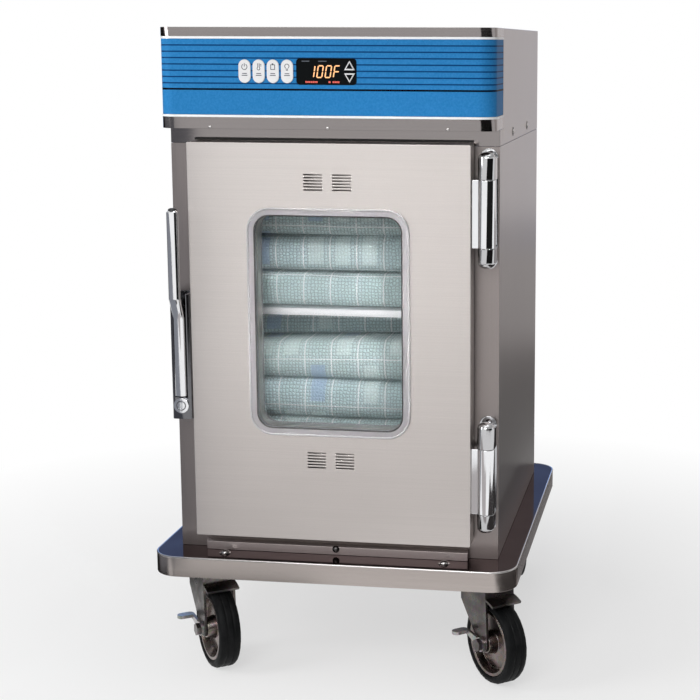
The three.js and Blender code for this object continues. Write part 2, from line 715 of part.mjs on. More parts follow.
function controlFascia() {
  const sideBack = hoodBack - FIT;
  const height = [fasciaLow + FIT, fasciaHigh - FIT];
  const outer = prismZ(hoodOutline(FASCIA_RECESS - FIT - FASCIA_THICK, sideBack), height);
  let fascia = outer.subtract(prismZ(hoodOutline(FASCIA_RECESS - FIT, sideBack + 1),
    [height[0] - 1, height[1] + 1]));
  const through = span(fasciaBack - 1, HOOD_REACH + 1);
  for (const x of keyXs) {
    fascia = fascia.subtract(prismY(keyOutline(x, FIT), through));
  }
  const display = roundedRect(displayX, controlZ,
    DISPLAY_WIDTH + 2 * FIT, DISPLAY_HEIGHT + 2 * FIT, DISPLAY_CORNER + FIT);
  return fascia.subtract(prismY(display, through, 2));
}

function panelKey(x) {
  const cap = prismY(keyOutline(x, 0), span(flangeFront - 1, fasciaFace + KEY_PROUD));
  return cap.add(prismY(keyOutline(x, KEY_LIP), span(flangeBack, flangeFront)));
}

function displayWindow() {
  const outline = roundedRect(displayX, controlZ, DISPLAY_WIDTH, DISPLAY_HEIGHT, DISPLAY_CORNER);
  const pocketFront = fasciaFace - DISPLAY_FACE;
  let window = prismY(outline, span(boardFront + FIT, fasciaFace), 2);
  const pocketHalf = ARROW_WIDTH / 2 + 2 * KEY_LIP;
  const pocketTall = DISPLAY_HEIGHT / 2 - KEY_LIP;
  window = window.subtract(block(around(arrowX, pocketHalf), span(boardFront, pocketFront),
    around(controlZ, pocketTall)));
  for (const direction of [1, -1]) {
    const hole = arrowOutline(direction, FIT);
    window = window.subtract(prismY(hole, span(pocketFront - 1, fasciaFace + 1)));
  }
  return window;
}

function arrowKey(direction) {
  const pocketFront = fasciaFace - DISPLAY_FACE;
  const cap = prismY(arrowOutline(direction, 0), span(flangeBack, fasciaFace + KEY_PROUD));
  const flange = block(around(arrowX, ARROW_WIDTH / 2 + KEY_LIP), span(flangeBack, pocketFront - FIT),
    around(arrowZ(direction), ARROW_SPACING / 2 - FIT));
  return cap.add(flange);
}

function controlBoard() {
  const half = cutout.half + BOARD_MARGIN;
  const sides = [cutout.left - BOARD_MARGIN, cutout.right + BOARD_MARGIN];
  let board = block(sides, span(boardFront - BOARD_THICK, boardFront), around(controlZ, half));
  for (const x of [sides[0] + BOARD_MARGIN / 2, sides[1] - BOARD_MARGIN / 2]) {
    for (const z of [controlZ - half + BOARD_MARGIN / 2, controlZ + half - BOARD_MARGIN / 2]) {
      board = board.add(rodY(span(boardFront - BOARD_THICK, wallBack - FIT), x, z, STANDOFF_RADIUS, 10));
    }
  }
  return board;
}

function topCover() {
  const depth = [hoodBack + FIT, rearY - SHEET - FIT];
  const outer = block([-bodyHalf, bodyHalf], depth, [BODY_HEIGHT + FIT, hoodTop]);
  const inner = bodyHalf - SHEET;
  let cover = outer.subtract(block([-inner, inner], [depth[0] - 1, depth[1] + 1],
    [BODY_HEIGHT, hoodTop - SHEET]));
  for (const [x0, x1] of [[-bodyHalf, -inner], [inner, bodyHalf]]) {
    const strip = block([x0, x1], [linerFront, depth[0] + SHEET], [BODY_HEIGHT + FIT, hoodBottom - FIT]);
    cover = cover.add(strip);
  }
  return cover;
}

const inletZ = (BODY_HEIGHT + hoodTop) / 2;

function rearCover() {
  let cover = block([-bodyHalf, bodyHalf], [rearY - SHEET, rearY], [BODY_HEIGHT + FIT, hoodTop]);
  const through = [rearY - SHEET - 1, rearY + 1];
  for (let slot = 0; slot < VENT_SLOTS; slot += 1) {
    const z = inletZ + (slot - (VENT_SLOTS - 1) / 2) * VENT_PITCH;
    cover = cover.subtract(block(around(VENT_CENTRE_X, VENT_WIDTH / 2), through, around(z, VENT_HEIGHT / 2)));
  }
  return cover.subtract(block(around(INLET_CENTRE_X, INLET_WIDTH / 2 + FIT), through,
    around(inletZ, INLET_HEIGHT / 2 + FIT)));
}

function powerInlet() {
  const flangeHalf = [INLET_WIDTH / 2 + INLET_FLANGE, INLET_HEIGHT / 2 + INLET_FLANGE / 2];
  const flange = block(around(INLET_CENTRE_X, flangeHalf[0]), [rearY + FIT, rearY + FIT + INLET_WALL],
    around(inletZ, flangeHalf[1]));
  const bodyBack = rearY + INLET_WALL;
  const body = block(around(INLET_CENTRE_X, INLET_WIDTH / 2), [bodyBack - INLET_DEPTH, bodyBack],
    around(inletZ, INLET_HEIGHT / 2));
  const socketBack = bodyBack + INLET_WALL;
  const socket = block(around(INLET_CENTRE_X, INLET_WIDTH / 2 - INLET_WALL),
    [socketBack - INLET_DEPTH, socketBack], around(inletZ, INLET_HEIGHT / 2 - INLET_WALL));
  return flange.add(body).subtract(socket);
}

piece(cabinet, 'hood_shell', hoodShell(), STAINLESS);
piece(cabinet, 'control_fascia', controlFascia(), BLUE);
keyXs.forEach((x, index) => piece(cabinet, `panel_key_${index + 1}`, panelKey(x), WHITE));
piece(cabinet, 'display_window', displayWindow(), BLACK);
piece(cabinet, 'arrow_key_up', arrowKey(1), WHITE);
piece(cabinet, 'arrow_key_down', arrowKey(-1), WHITE);
piece(cabinet, 'control_board', controlBoard(), BOARD);
piece(cabinet, 'top_cover', topCover(), STAINLESS);
piece(cabinet, 'rear_cover', rearCover(), STAINLESS);
piece(cabinet, 'power_inlet', powerInlet(), BLACK);

// Door: two nested pans, a gasket and a double-glazed window
const gasketFront = GASKET_THICK;
const panBack = gasketFront + FIT;
const trimFront = DOOR_REACH + FIT + TRIM_THICK;
const outerGlassFront = trimFront - GLASS_RECESS;
const outerGlassBack = outerGlassFront - GLASS_THICK;
const innerGlassBack = panBack + FIT;
const innerGlassFront = innerGlassBack + GLASS_THICK;
const sight = (grow) => roundedRect(
  0, sightZ, SIGHT_WIDTH + 2 * grow, SIGHT_HEIGHT + 2 * grow, SIGHT_CORNER + grow);
const doorOutline = (inset) => roundedRect(
  0, doorMiddle, 2 * (doorHalf - inset), doorTop - DOOR_BOTTOM - 2 * inset, 2);

function louvreSlots() {
  const slots = [];
  const trimHalf = SIGHT_HEIGHT / 2 + TRIM_WIDTH;
  for (const rise of [-1, 1]) {
    for (const side of [-1, 1]) {
      const x = side * (LOUVRE_WIDTH + LOUVRE_GAP) / 2;
      const middle = sightZ + rise * (trimHalf + LOUVRE_OFFSET);
      for (let row = 0; row < LOUVRE_SLOTS; row += 1) {
        const z = middle + (row - (LOUVRE_SLOTS - 1) / 2) * LOUVRE_PITCH;
        slots.push(block(around(x, LOUVRE_WIDTH / 2), span(DOOR_REACH - SHEET - 1, DOOR_REACH + 1),
          around(z, LOUVRE_SLOT / 2)));
      }
    }
  }
  return slots;
}

function doorOuterPan() {
  const outer = prismY(doorOutline(0), span(panBack + LINER_SHEET + FIT, DOOR_REACH), 1);
  const hollow = prismY(doorOutline(SHEET), span(0, DOOR_REACH - SHEET), 1);
  const window = prismY(sight(GLASS_LAP + FIT), span(0, DOOR_REACH + 1));
  let pan = outer.subtract(hollow).subtract(window);
  for (const slot of louvreSlots()) {
    pan = pan.subtract(slot);
  }
  return pan;
}

// The inner pan carries the glass spacer and closes the back of the door
function doorInnerPan() {
  const plate = prismY(doorOutline(0), span(panBack, panBack + LINER_SHEET), 1);
  const flange = prismY(doorOutline(SHEET + FIT), span(panBack, panBack + PAN_FLANGE), 1)
    .subtract(prismY(doorOutline(SHEET + FIT + LINER_SHEET), span(panBack - 1, panBack + PAN_FLANGE + 1), 1));
  const spacer = prismY(sight(GLASS_LAP + LINER_SHEET + FIT), span(panBack, outerGlassBack - FIT));
  const pocket = prismY(sight(GLASS_LAP + FIT), span(panBack - 1, innerGlassFront + FIT));
  const sightHole = prismY(sight(0), span(panBack - 1, outerGlassBack + 1));
  return plate.add(flange).add(spacer).subtract(pocket).subtract(sightHole);
}

function doorGasket() {
  const outline = doorOutline(GASKET_INSET);
  outline.holes.push(doorOutline(GASKET_INSET + GASKET_WIDTH));
  return prismY(outline, span(FIT, gasketFront), 1);
}

function windowTrim() {
  const flange = prismY(sight(TRIM_WIDTH), span(DOOR_REACH + FIT, trimFront));
  const sleeve = prismY(sight(GLASS_LAP), span(outerGlassFront + FIT, trimFront));
  return flange.add(sleeve).subtract(prismY(sight(0), span(0, trimFront + 1)));
}

function windowTrimInner() {
  const ring = sight(TRIM_WIDTH);
  ring.holes.push(sight(0));
  return prismY(ring, span(panBack - FIT - TRIM_THICK, panBack - FIT));
}

piece(cabinet, 'door_outer_pan', doorOuterPan(), STAINLESS);
piece(cabinet, 'door_inner_pan', doorInnerPan(), STAINLESS);
piece(cabinet, 'door_gasket', doorGasket(), GREY_RUBBER);
piece(cabinet, 'window_trim', windowTrim(), GREY_RUBBER);
piece(cabinet, 'window_trim_inner', windowTrimInner(), GREY_RUBBER);
piece(cabinet, 'window_glass_outer', prismY(sight(GLASS_LAP), span(outerGlassBack, outerGlassFront)), GLASS);
piece(cabinet, 'window_glass_inner', prismY(sight(GLASS_LAP), span(innerGlassBack, innerGlassFront)), GLASS);

// Hinges: the frame leaf holds the two caps, the door leaf holds the sleeve
const hingeX = bodyHalf - HINGE_AXIS_IN;
const hingeY = ahead(HINGE_AXIS_AHEAD);
const sleeveHalf = HINGE_SLEEVE / 2;
const capBottom = (z) => z - sleeveHalf - HINGE_RUN - HINGE_CAP_LOWER;
const capTop = (z) => z + sleeveHalf + HINGE_RUN + HINGE_CAP_UPPER;

function hingeBore(z) {
  return rodZ([capBottom(z), capTop(z)], hingeX, hingeY, HINGE_PIN_RADIUS + FIT, 16);
}

function hingeFrameLeaf(z) {
  const [low, high] = [capBottom(z) - HINGE_DOME, capTop(z) + HINGE_DOME];
  const leafHalf = (high - low) / 2 + HINGE_LEAF_MARGIN;
  const leafShape = roundedRect(hingeX, (low + high) / 2, 2 * HINGE_RADIUS, 2 * leafHalf, HINGE_RADIUS);
  let leaf = prismY(leafShape, span(FIT, HINGE_LEAF_THICK));
  const caps = [
    [capBottom(z), z - sleeveHalf - HINGE_RUN],
    [z + sleeveHalf + HINGE_RUN, capTop(z)],
  ];
  for (const cap of caps) {
    const root = block(around(hingeX, HINGE_RADIUS), span(HINGE_LEAF_THICK - 1, HINGE_AXIS_AHEAD), cap);
    leaf = leaf.add(root).add(rodZ(cap, hingeX, hingeY, HINGE_RADIUS));
  }
  leaf = leaf.subtract(hingeBore(z));
  const arc = THREE.MathUtils.degToRad(HINGE_DOME_ARC) / HINGE_DOME_STEPS;
  const radiusAt = (step) => HINGE_RADIUS * Math.cos(arc * step);
  const riseAt = (step) => HINGE_DOME * Math.sin(arc * step) / Math.sin(arc * HINGE_DOME_STEPS);
  for (let step = 0; step < HINGE_DOME_STEPS; step += 1) {
    const [wide, narrow] = [radiusAt(step), radiusAt(step + 1)];
    const [start, end] = [riseAt(step), riseAt(step + 1)];
    leaf = leaf.add(coneZ([capTop(z) + start, capTop(z) + end], hingeX, hingeY, wide, narrow));
    leaf = leaf.add(coneZ([capBottom(z) - end, capBottom(z) - start], hingeX, hingeY, narrow, wide));
  }
  return leaf;
}

function hingeDoorLeaf(z) {
  const sleeve = around(z, sleeveHalf);
  const leaf = block([doorHalf + FIT, hingeX],
    span(HINGE_AXIS_AHEAD - HINGE_RADIUS, HINGE_AXIS_AHEAD + HINGE_DOOR_LEAF_AHEAD), sleeve);
  return leaf.add(rodZ(sleeve, hingeX, hingeY, HINGE_RADIUS)).subtract(hingeBore(z));
}

const hinges = { upper: doorTop - HINGE_FROM_END, lower: DOOR_BOTTOM + HINGE_FROM_END };
for (const [place, z] of Object.entries(hinges)) {
  piece(cabinet, `hinge_frame_leaf_${place}`, hingeFrameLeaf(z), CHROME);
  piece(cabinet, `hinge_door_leaf_${place}`, hingeDoorLeaf(z), CHROME);
  const pin = rodZ([capBottom(z) + FIT, capTop(z) - FIT], hingeX, hingeY, HINGE_PIN_RADIUS, 16);
  piece(cabinet, `hinge_pin_${place}`, pin, ZINC);
}

// Latch on the door's left edge: a channel housing with a pivoting lever and a key lock
const latchRight = -doorHalf - FIT;
const latchX = latchRight - LATCH_WIDTH / 2;
const latchTop = LATCH_BOTTOM + LATCH_HEIGHT;
const channelHalf = LATCH_WIDTH / 2 - LATCH_WALL;
const channelBottom = LATCH_BOTTOM + LATCH_FLOOR;
const pivotY = ahead(PIVOT_AHEAD);
const pivotZ = latchTop - PIVOT_DROP;
const lockZ = LATCH_BOTTOM + LOCK_RISE;

function latchHousing() {
  const middleY = ahead((LATCH_BACK + LATCH_REACH) / 2);
  const plan = roundedRect(latchX, middleY, LATCH_WIDTH, LATCH_REACH - LATCH_BACK, LATCH_CORNER);
  const channel = block(around(latchX, channelHalf), span(LATCH_BACK + LATCH_WALL, LATCH_REACH + 1),
    [channelBottom, latchTop + 1]);
  const lockBore = rodY(span(LATCH_REACH - LOCK_DEPTH - FIT, LATCH_REACH + 1),
    latchX, lockZ, LOCK_RADIUS + FIT);
  const pinBore = rodX(around(latchX, LATCH_WIDTH), pivotY, pivotZ, PIVOT_RADIUS + FIT, 12);
  return prismZ(plan, [LATCH_BOTTOM, latchTop], 2).subtract(channel).subtract(lockBore).subtract(pinBore);
}

function latchHandle() {
  const foot = channelBottom + LEVER_FOOT_GAP;
  const neckLow = pivotZ - NECK_HEIGHT / 2;
  const neckHigh = pivotZ + NECK_HEIGHT / 2;
  const gripTop = neckHigh + GRIP_LENGTH;
  const shoulder = gripTop - HANDLE_CROWN;
  const half = channelHalf - LEVER_GAP;
  const bar = (reach, thick, heights, slim = 0) => prismZ(roundedRect(latchX, ahead(reach - thick / 2),
    2 * (half - slim), thick - 2 * slim, HANDLE_ROUND - slim), heights);
  const leverBar = (heights) => bar(LEVER_REACH, LEVER_THICK, heights);
  const gripBar = (heights, slim) => bar(GRIP_REACH, GRIP_THICK, heights, slim);
  const neck = wasm.Manifold.hull([leverBar([neckLow - 1, neckLow]), gripBar([neckHigh, neckHigh + 1])]);
  const crown = wasm.Manifold.hull([
    gripBar([shoulder - 1, shoulder]), gripBar([gripTop - 1, gripTop], HANDLE_CROWN),
  ]);
  const web = polygon([
    [ahead(LEVER_REACH - LEVER_THICK / 2), neckLow], [ahead(PIVOT_AHEAD), pivotZ - PIVOT_BOSS],
    [ahead(PIVOT_AHEAD), pivotZ + PIVOT_BOSS], [ahead(GRIP_REACH - GRIP_THICK / 2), neckHigh],
  ]);
  const width = around(latchX, half);
  const arm = leverBar([foot, neckLow]).add(neck).add(gripBar([neckHigh, shoulder])).add(crown);
  const lever = arm.add(prismX(web, width)).add(rodX(width, pivotY, pivotZ, PIVOT_BOSS));
  return lever.subtract(rodX(around(latchX, LATCH_WIDTH), pivotY, pivotZ, PIVOT_RADIUS + FIT, 12));
}

function lockCylinder() {
  const faceBack = LATCH_REACH + FIT;
  const faceFront = faceBack + LOCK_FACE_THICK;
  const face = rodY(span(faceBack, faceFront), latchX, lockZ, LOCK_FACE_RADIUS);
  const barrel = rodY(span(LATCH_REACH - LOCK_DEPTH, faceBack + 1), latchX, lockZ, LOCK_RADIUS);
  const keyway = block(around(latchX, KEYWAY_WIDTH / 2), span(faceBack, faceFront + 1),
    around(lockZ, KEYWAY_HEIGHT / 2));
  return face.add(barrel).subtract(keyway);
}

function strikePlate() {
  return block(around(latchX, channelHalf), span(FIT, FIT + STRIKE_THICK),
    [channelBottom, channelBottom + STRIKE_HEIGHT]);
}

piece(cabinet, 'latch_housing', latchHousing(), CHROME);
piece(cabinet, 'latch_handle', latchHandle(), CHROME);
const latchPin = rodX(around(latchX, LATCH_WIDTH / 2 - FIT), pivotY, pivotZ, PIVOT_RADIUS, 12);
piece(cabinet, 'latch_pin', latchPin, ZINC);
piece(cabinet, 'lock_cylinder', lockCylinder(), CHROME);
piece(cabinet, 'strike_plate', strikePlate(), ZINC);

// The origin goes under the middle of the whole cabinet
model.updateMatrixWorld(true);
const bounds = new THREE.Box3().setFromObject(model, true);
const middle = bounds.getCenter(new THREE.Vector3());
model.position.set(-middle.x, -middle.y, -bounds.min.z);

export default model;
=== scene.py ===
import math
import random

import bmesh
import bpy
from mathutils import Matrix, Vector


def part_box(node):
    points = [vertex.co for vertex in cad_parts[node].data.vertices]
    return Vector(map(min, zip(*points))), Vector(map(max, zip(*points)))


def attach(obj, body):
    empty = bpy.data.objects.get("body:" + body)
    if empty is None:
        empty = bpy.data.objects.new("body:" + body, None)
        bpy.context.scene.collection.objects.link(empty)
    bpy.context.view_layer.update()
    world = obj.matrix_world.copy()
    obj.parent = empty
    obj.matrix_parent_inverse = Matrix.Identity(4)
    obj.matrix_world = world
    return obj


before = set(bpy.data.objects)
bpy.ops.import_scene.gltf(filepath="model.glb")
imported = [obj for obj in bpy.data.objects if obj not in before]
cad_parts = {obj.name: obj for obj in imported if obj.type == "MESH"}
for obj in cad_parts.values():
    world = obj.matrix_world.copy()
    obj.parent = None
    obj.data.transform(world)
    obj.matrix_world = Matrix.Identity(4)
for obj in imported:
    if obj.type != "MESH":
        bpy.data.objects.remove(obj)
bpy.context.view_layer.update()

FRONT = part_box("face_frame")[0].y
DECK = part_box("base_pan")[1].z
MM = 0.001

# Half the body's width, and how far the hood reaches ahead of the body, in millimetres
BODY_HALF = 245.0
HOOD_REACH = 52.0


def at(x, ahead, z):
    """A point from millimetres: right, ahead of the body's front face, above the base deck."""
    return Vector((x * MM, FRONT - ahead * MM, DECK + z * MM))


# Materials

# Noise scales that draw scratches level, upright, or from side to side on the top
GRAIN_LEVEL = (5.0, 5.0, 1100.0)
GRAIN_UPRIGHT = (1100.0, 5.0, 5.0)
GRAIN_CROSS = (5.0, 1100.0, 5.0)


def shaded(color, share):
    """A darker or lighter tone of a colour."""
    return tuple(c * share for c in color)


class Nodes:
    """Helpers for the nodes of a material or of the world."""

    def __init__(self, tree):
        self.tree = tree

    def node(self, kind, inputs=None, **settings):
        """A new node with its settings, and with values or links on its inputs."""
        made = self.tree.nodes.new(kind)
        for key, value in settings.items():
            setattr(made, key, value)
        for key, value in (inputs or {}).items():
            self.feed(made, key, value)
        return made

    def feed(self, target, socket, value):
        """A link where the value is another node's socket, and a plain value otherwise."""
        if isinstance(value, bpy.types.NodeSocket):
            self.tree.links.new(value, target.inputs[socket])
        else:
            target.inputs[socket].default_value = value

    def ramp(self, value, stops):
        """A colour that runs through stops of (position, colour)."""
        made = self.node("ShaderNodeValToRGB", {"Fac": value})
        elements = made.color_ramp.elements
        while len(elements) < len(stops):
            elements.new(0.5)
        for element, (position, color) in zip(elements, stops):
            element.position = position
            element.color = (*color, 1.0)
        return made.outputs["Color"]

    def span(self, value, low, high, start, end):
        """A value that goes from low to high while the input goes from start to end."""
        made = self.node("ShaderNodeMapRange", {
            "Value": value, "From Min": start, "From Max": end, "To Min": low, "To Max": high})
        return made.outputs["Result"]

    def math(self, operation, a, b=0.0):
        return self.node("ShaderNodeMath", {0: a, 1: b}, operation=operation).outputs[0]

    def axis(self, name, where):
        return self.node("ShaderNodeSeparateXYZ", {0: where}).outputs[name]

    def seen(self):
        """1 for the rays of the camera, of reflections and through glass, and 0 for the others."""
        path = self.node("ShaderNodeLightPath").outputs
        indirect = self.math("MAXIMUM", path["Is Glossy Ray"], path["Is Transmission Ray"])
        return self.math("MAXIMUM", path["Is Camera Ray"], indirect)


class Shader(Nodes):
    """A Principled material with helpers for its textures."""

    def __init__(self, name, color, roughness, metallic=0.0, **sockets):
        self.material = bpy.data.materials.new(name)
        self.material.use_nodes = True
        super().__init__(self.material.node_tree)
        self.surface = self.tree.nodes["Principled BSDF"]
        self.coordinates = self.node("ShaderNodeTexCoord").outputs
        self.color((*color, 1.0))
        self.rough(roughness)
        self.feed(self.surface, "Metallic", metallic)
        for socket, value in sockets.items():
            self.feed(self.surface, socket.replace("_", " "), value)

    def place(self):
        return self.coordinates["Object"]

    def uv(self):
        return self.coordinates["UV"]

    def stretched(self, scale):
        """The place on the object, scaled apart for each axis."""
        mapping = self.node("ShaderNodeMapping", {"Vector": self.place(), "Scale": scale})
        return mapping.outputs["Vector"]

    def noise(self, scale, detail, where=None, rough=0.55):
        made = self.node("ShaderNodeTexNoise", {
            "Vector": where or self.place(), "Scale": scale, "Detail": detail, "Roughness": rough})
        return made.outputs["Fac"]

    def mix(self, factor, a, b, blend="MIX"):
        """A colour between two, each a socket or a plain colour."""
        made = self.node("ShaderNodeMix", data_type="RGBA", blend_type=blend)
        self.feed(made, "Factor", factor)
        for socket, value in ((6, a), (7, b)):
            self.feed(made, socket, value if isinstance(value, bpy.types.NodeSocket) else (*value, 1.0))
        return made.outputs[2]

    def color(self, value):
        self.feed(self.surface, "Base Color", value)

    def rough(self, value):
        self.feed(self.surface, "Roughness", value)

    def bump(self, height, strength, distance):
        made = self.node("ShaderNodeBump", {"Height": height, "Strength": strength, "Distance": distance})
        self.feed(self.surface, "Normal", made.outputs["Normal"])


def brushed(name, color, roughness, grain=GRAIN_LEVEL):
    """Satin steel: fine parallel scratches over a speckled grain, a little darker in soft clouds."""
    s = Shader(name, color, roughness, metallic=1.0)
    scratches = s.noise(1.0, 4.0, s.stretched(grain), rough=0.6)
    speckle = s.noise(900.0, 2.0)
    clouds = s.noise(6.0, 3.0)
    grained = s.math("ADD", s.math("MULTIPLY", scratches, 0.4), s.math("MULTIPLY", speckle, 0.6))
    streaked = s.ramp(grained, [(0.36, shaded(color, 0.93)), (0.64, shaded(color, 1.06))])
    s.color(s.mix(s.span(clouds, 0.0, 0.3, 0.4, 0.75), streaked, shaded(color, 0.9)))
    s.rough(s.span(grained, roughness - 0.04, roughness + 0.06, 0.35, 0.65))
    s.bump(grained, 0.03, 0.0003)
    return s.material


def polished(name, color, roughness):
    """Polished metal with faint smears."""
    s = Shader(name, color, roughness, metallic=1.0)
    cloud = s.noise(26.0, 5.0)
    s.rough(s.span(cloud, roughness, roughness + 0.05, 0.4, 0.75))
    s.color(s.mix(s.span(cloud, 0.0, 0.3, 0.4, 0.8), color, shaded(color, 0.86)))
    s.bump(s.noise(380.0, 2.0), 0.015, 0.0002)
    return s.material


def moulded(name, color, roughness, grain, relief, **sockets):
    """Plastic, rubber or paint with a fine texture and slight unevenness."""
    s = Shader(name, color, roughness, **sockets)
    cloud = s.noise(14.0, 3.0)
    s.color(s.mix(s.span(cloud, 0.0, 0.5, 0.35, 0.75), color, shaded(color, 0.9)))
    s.rough(s.span(cloud, roughness - 0.05, roughness + 0.06, 0.3, 0.7))
    s.bump(s.noise(grain, 3.0), relief, 0.0002)
    return s.material


def base_metal():
    """Bumper base: satin sides, and a top polished almost to a mirror, its colour painted far darker than
    the sides as a painted dark reflection.
    """
    tint = (0.40, 0.37, 0.37, 1.0)
    s = Shader("base_polished_steel", (0.42, 0.39, 0.375), 0.25, metallic=1.0, Specular_Tint=tint)
    scratches = s.noise(1.0, 4.0, s.stretched(GRAIN_LEVEL), rough=0.6)
    sides = s.ramp(scratches, [(0.35, (0.45, 0.405, 0.38)), (0.65, (0.51, 0.46, 0.435))])
    swirls = s.noise(9.0, 4.0)
    # Painted dark reflection: the top's colour is much darker than the sides', chosen by how far the face
    # looks up
    top = s.ramp(swirls, [(0.35, (0.20, 0.178, 0.178)), (0.75, (0.245, 0.22, 0.22))])
    normal = s.node("ShaderNodeNewGeometry").outputs["Normal"]
    up = s.span(s.axis("Z", normal), 0.0, 1.0, 0.5, 0.95)
    s.color(s.mix(up, sides, top))
    satin = s.span(scratches, 0.20, 0.27, 0.35, 0.65)
    s.rough(s.math("SUBTRACT", satin, s.math("MULTIPLY", up, 0.15)))
    s.bump(scratches, 0.02, 0.0003)
    return s.material


def caster_metal(name, color, roughness):
    """Zinc-plated steel: mottled plating, dulled in patches."""
    s = Shader(name, color, roughness, metallic=1.0)
    spangle = s.node("ShaderNodeTexVoronoi", {"Vector": s.place(), "Scale": 260.0}).outputs["Color"]
    patches = s.noise(38.0, 5.0)
    plated = s.mix(s.span(patches, 0.0, 0.8, 0.38, 0.7), color, shaded(color, 0.6))
    s.color(s.mix(0.12, plated, spangle, blend="OVERLAY"))
    s.rough(s.span(patches, roughness - 0.08, roughness + 0.15, 0.35, 0.7))
    s.bump(s.noise(500.0, 3.0), 0.08, 0.0003)
    return s.material


def tyre_rubber():
    """Black rubber, scuffed grey in places."""
    s = Shader("tyre_rubber", (0.008, 0.009, 0.010), 0.55, Specular_IOR_Level=0.12)
    scuff = s.noise(55.0, 6.0)
    s.color(s.ramp(scuff, [(0.45, (0.004, 0.0045, 0.005)), (0.85, (0.017, 0.017, 0.018))]))
    s.rough(s.span(scuff, 0.45, 0.75, 0.35, 0.75))
    s.bump(s.noise(650.0, 4.0), 0.2, 0.0004)
    return s.material


def fascia_print():
    """Blue overlay: pinstriped upper field, black rule, plain lower field."""
    low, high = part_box("control_fascia")
    # Shares of the overlay's height, and last a share of the stripes' pitch
    rule_at, rule_half = 0.336, 0.0125
    field_low, field_high = rule_at + 0.04, 0.955
    first_stripe, stripe_pitch = 0.415, 0.0832
    stripe_half = 0.11
    s = Shader("fascia_blue", (0.03, 0.20, 0.48), 0.42, Specular_IOR_Level=0.03)

    def near(value, middle, half):
        return s.math("LESS_THAN", s.math("ABSOLUTE", s.math("SUBTRACT", value, middle)), half)

    height = s.span(s.axis("Z", s.place()), 0.0, 1.0, low.z, high.z)
    weave = s.noise(420.0, 3.0)
    blue = s.ramp(weave, [(0.3, (0.021, 0.184, 0.447)), (0.7, (0.032, 0.221, 0.518))])
    above_first = s.math("SUBTRACT", height, first_stripe - stripe_pitch / 2)
    stripe = near(s.math("FRACT", s.math("DIVIDE", above_first, stripe_pitch)), 0.5, stripe_half)
    field = s.math("MULTIPLY", s.math("GREATER_THAN", height, field_low),
                   s.math("LESS_THAN", height, field_high))
    striped = s.mix(s.math("MULTIPLY", stripe, field), blue, (0.005, 0.045, 0.15))
    s.color(s.mix(near(height, rule_at, rule_half), striped, (0.002, 0.003, 0.007)))
    s.rough(s.span(weave, 0.38, 0.48, 0.3, 0.7))
    s.bump(weave, 0.05, 0.0002)
    return s.material


def blanket_cloth(name, shade):
    """Waffle-weave cotton with painted shade in its pits, a thin windowpane check and a few filled panes.
    """
    # Metres of cloth
    pane_wide, pane_tall, cell, stray = 0.041, 0.054, 0.0052, 0.005
    s = Shader(name, shade, 0.95, Sheen_Weight=0.2, Sheen_Roughness=0.6)

    def inside(value, low, high):
        """1 where the share of a pane lies between two limits."""
        share = s.math("FRACT", value)
        return s.math("MULTIPLY", s.math("GREATER_THAN", share, low), s.math("LESS_THAN", share, high))

    wobble = s.math("MULTIPLY", s.math("SUBTRACT", s.noise(11.0, 3.0), 0.5), stray)
    along = s.math("ADD", s.axis("X", s.uv()), wobble)
    across = s.math("ADD", s.axis("Y", s.uv()), wobble)
    plane = s.node("ShaderNodeCombineXYZ", {"X": along, "Y": s.math("MULTIPLY", across, 1.12)})
    cells = s.node("ShaderNodeTexVoronoi",
                   {"Vector": plane.outputs[0], "Scale": 1 / cell, "Randomness": 0.42},
                   feature="DISTANCE_TO_EDGE", voronoi_dimensions="2D")
    waffle_depth_and_shade = s.span(cells.outputs["Distance"], 0.0, 1.0, 0.02, 0.34)
    thread = s.noise(1400.0, 3.0)
    columns, rows = s.math("DIVIDE", along, pane_wide), s.math("DIVIDE", across, pane_tall)
    number = s.node("ShaderNodeCombineXYZ", {"X": s.math("FLOOR", columns), "Y": s.math("FLOOR", rows)})
    draw = s.node("ShaderNodeTexWhiteNoise", {"Vector": number.outputs[0]}, noise_dimensions="3D")
    chance = draw.outputs["Value"]
    filled = s.math("MULTIPLY", inside(columns, 0.24, 0.78), inside(rows, 0.14, 0.86))
    pale = s.math("MULTIPLY", filled, s.math("GREATER_THAN", chance, 0.70))
    blue = s.math("MULTIPLY", filled, s.math("LESS_THAN", chance, 0.16))
    line = s.math("MAXIMUM", inside(columns, 0.0, 0.052), inside(rows, 0.0, 0.030))
    # Painted shade: the waffle's pits are coloured darker than its crowns, as shade in the weave's hollows;
    # the bump below uses the same cells
    color = s.ramp(waffle_depth_and_shade, [(0.0, shaded(shade, 0.44)), (0.68, shade)])
    color = s.mix(s.math("MULTIPLY", pale, 0.42), color, (0.90, 1.0, 0.97))
    color = s.mix(s.math("MULTIPLY", blue, 0.80), color, (0.36, 0.50, 0.68))
    color = s.mix(s.math("MULTIPLY", line, 0.96), color, (1.0, 1.0, 1.0))
    s.color(s.mix(s.span(thread, 0.0, 0.2, 0.4, 0.8), color, shaded(shade, 0.6)))
    s.bump(s.math("ADD", waffle_depth_and_shade, s.math("MULTIPLY", thread, 0.3)), 0.8, 0.002)
    return s.material


def clear_glass():
    """Thin clear panes, faintly smeared."""
    s = Shader("clear_glass", (0.90, 0.94, 0.96), 0.03, Transmission_Weight=1.0, IOR=1.45, Alpha=0.10)
    s.rough(s.span(s.noise(18.0, 4.0), 0.0, 0.015, 0.4, 0.8))
    s.material.surface_render_method = "BLENDED"
    return s.material


def glowing(name, color, strength):
    """Lit print of the display."""
    s = Shader(name, color, 0.4, Emission_Strength=strength)
    lit = s.ramp(s.noise(600.0, 2.0), [(0.2, shaded(color, 0.85)), (0.8, color)])
    s.color(lit)
    s.feed(s.surface, "Emission Color", lit)
    return s.material


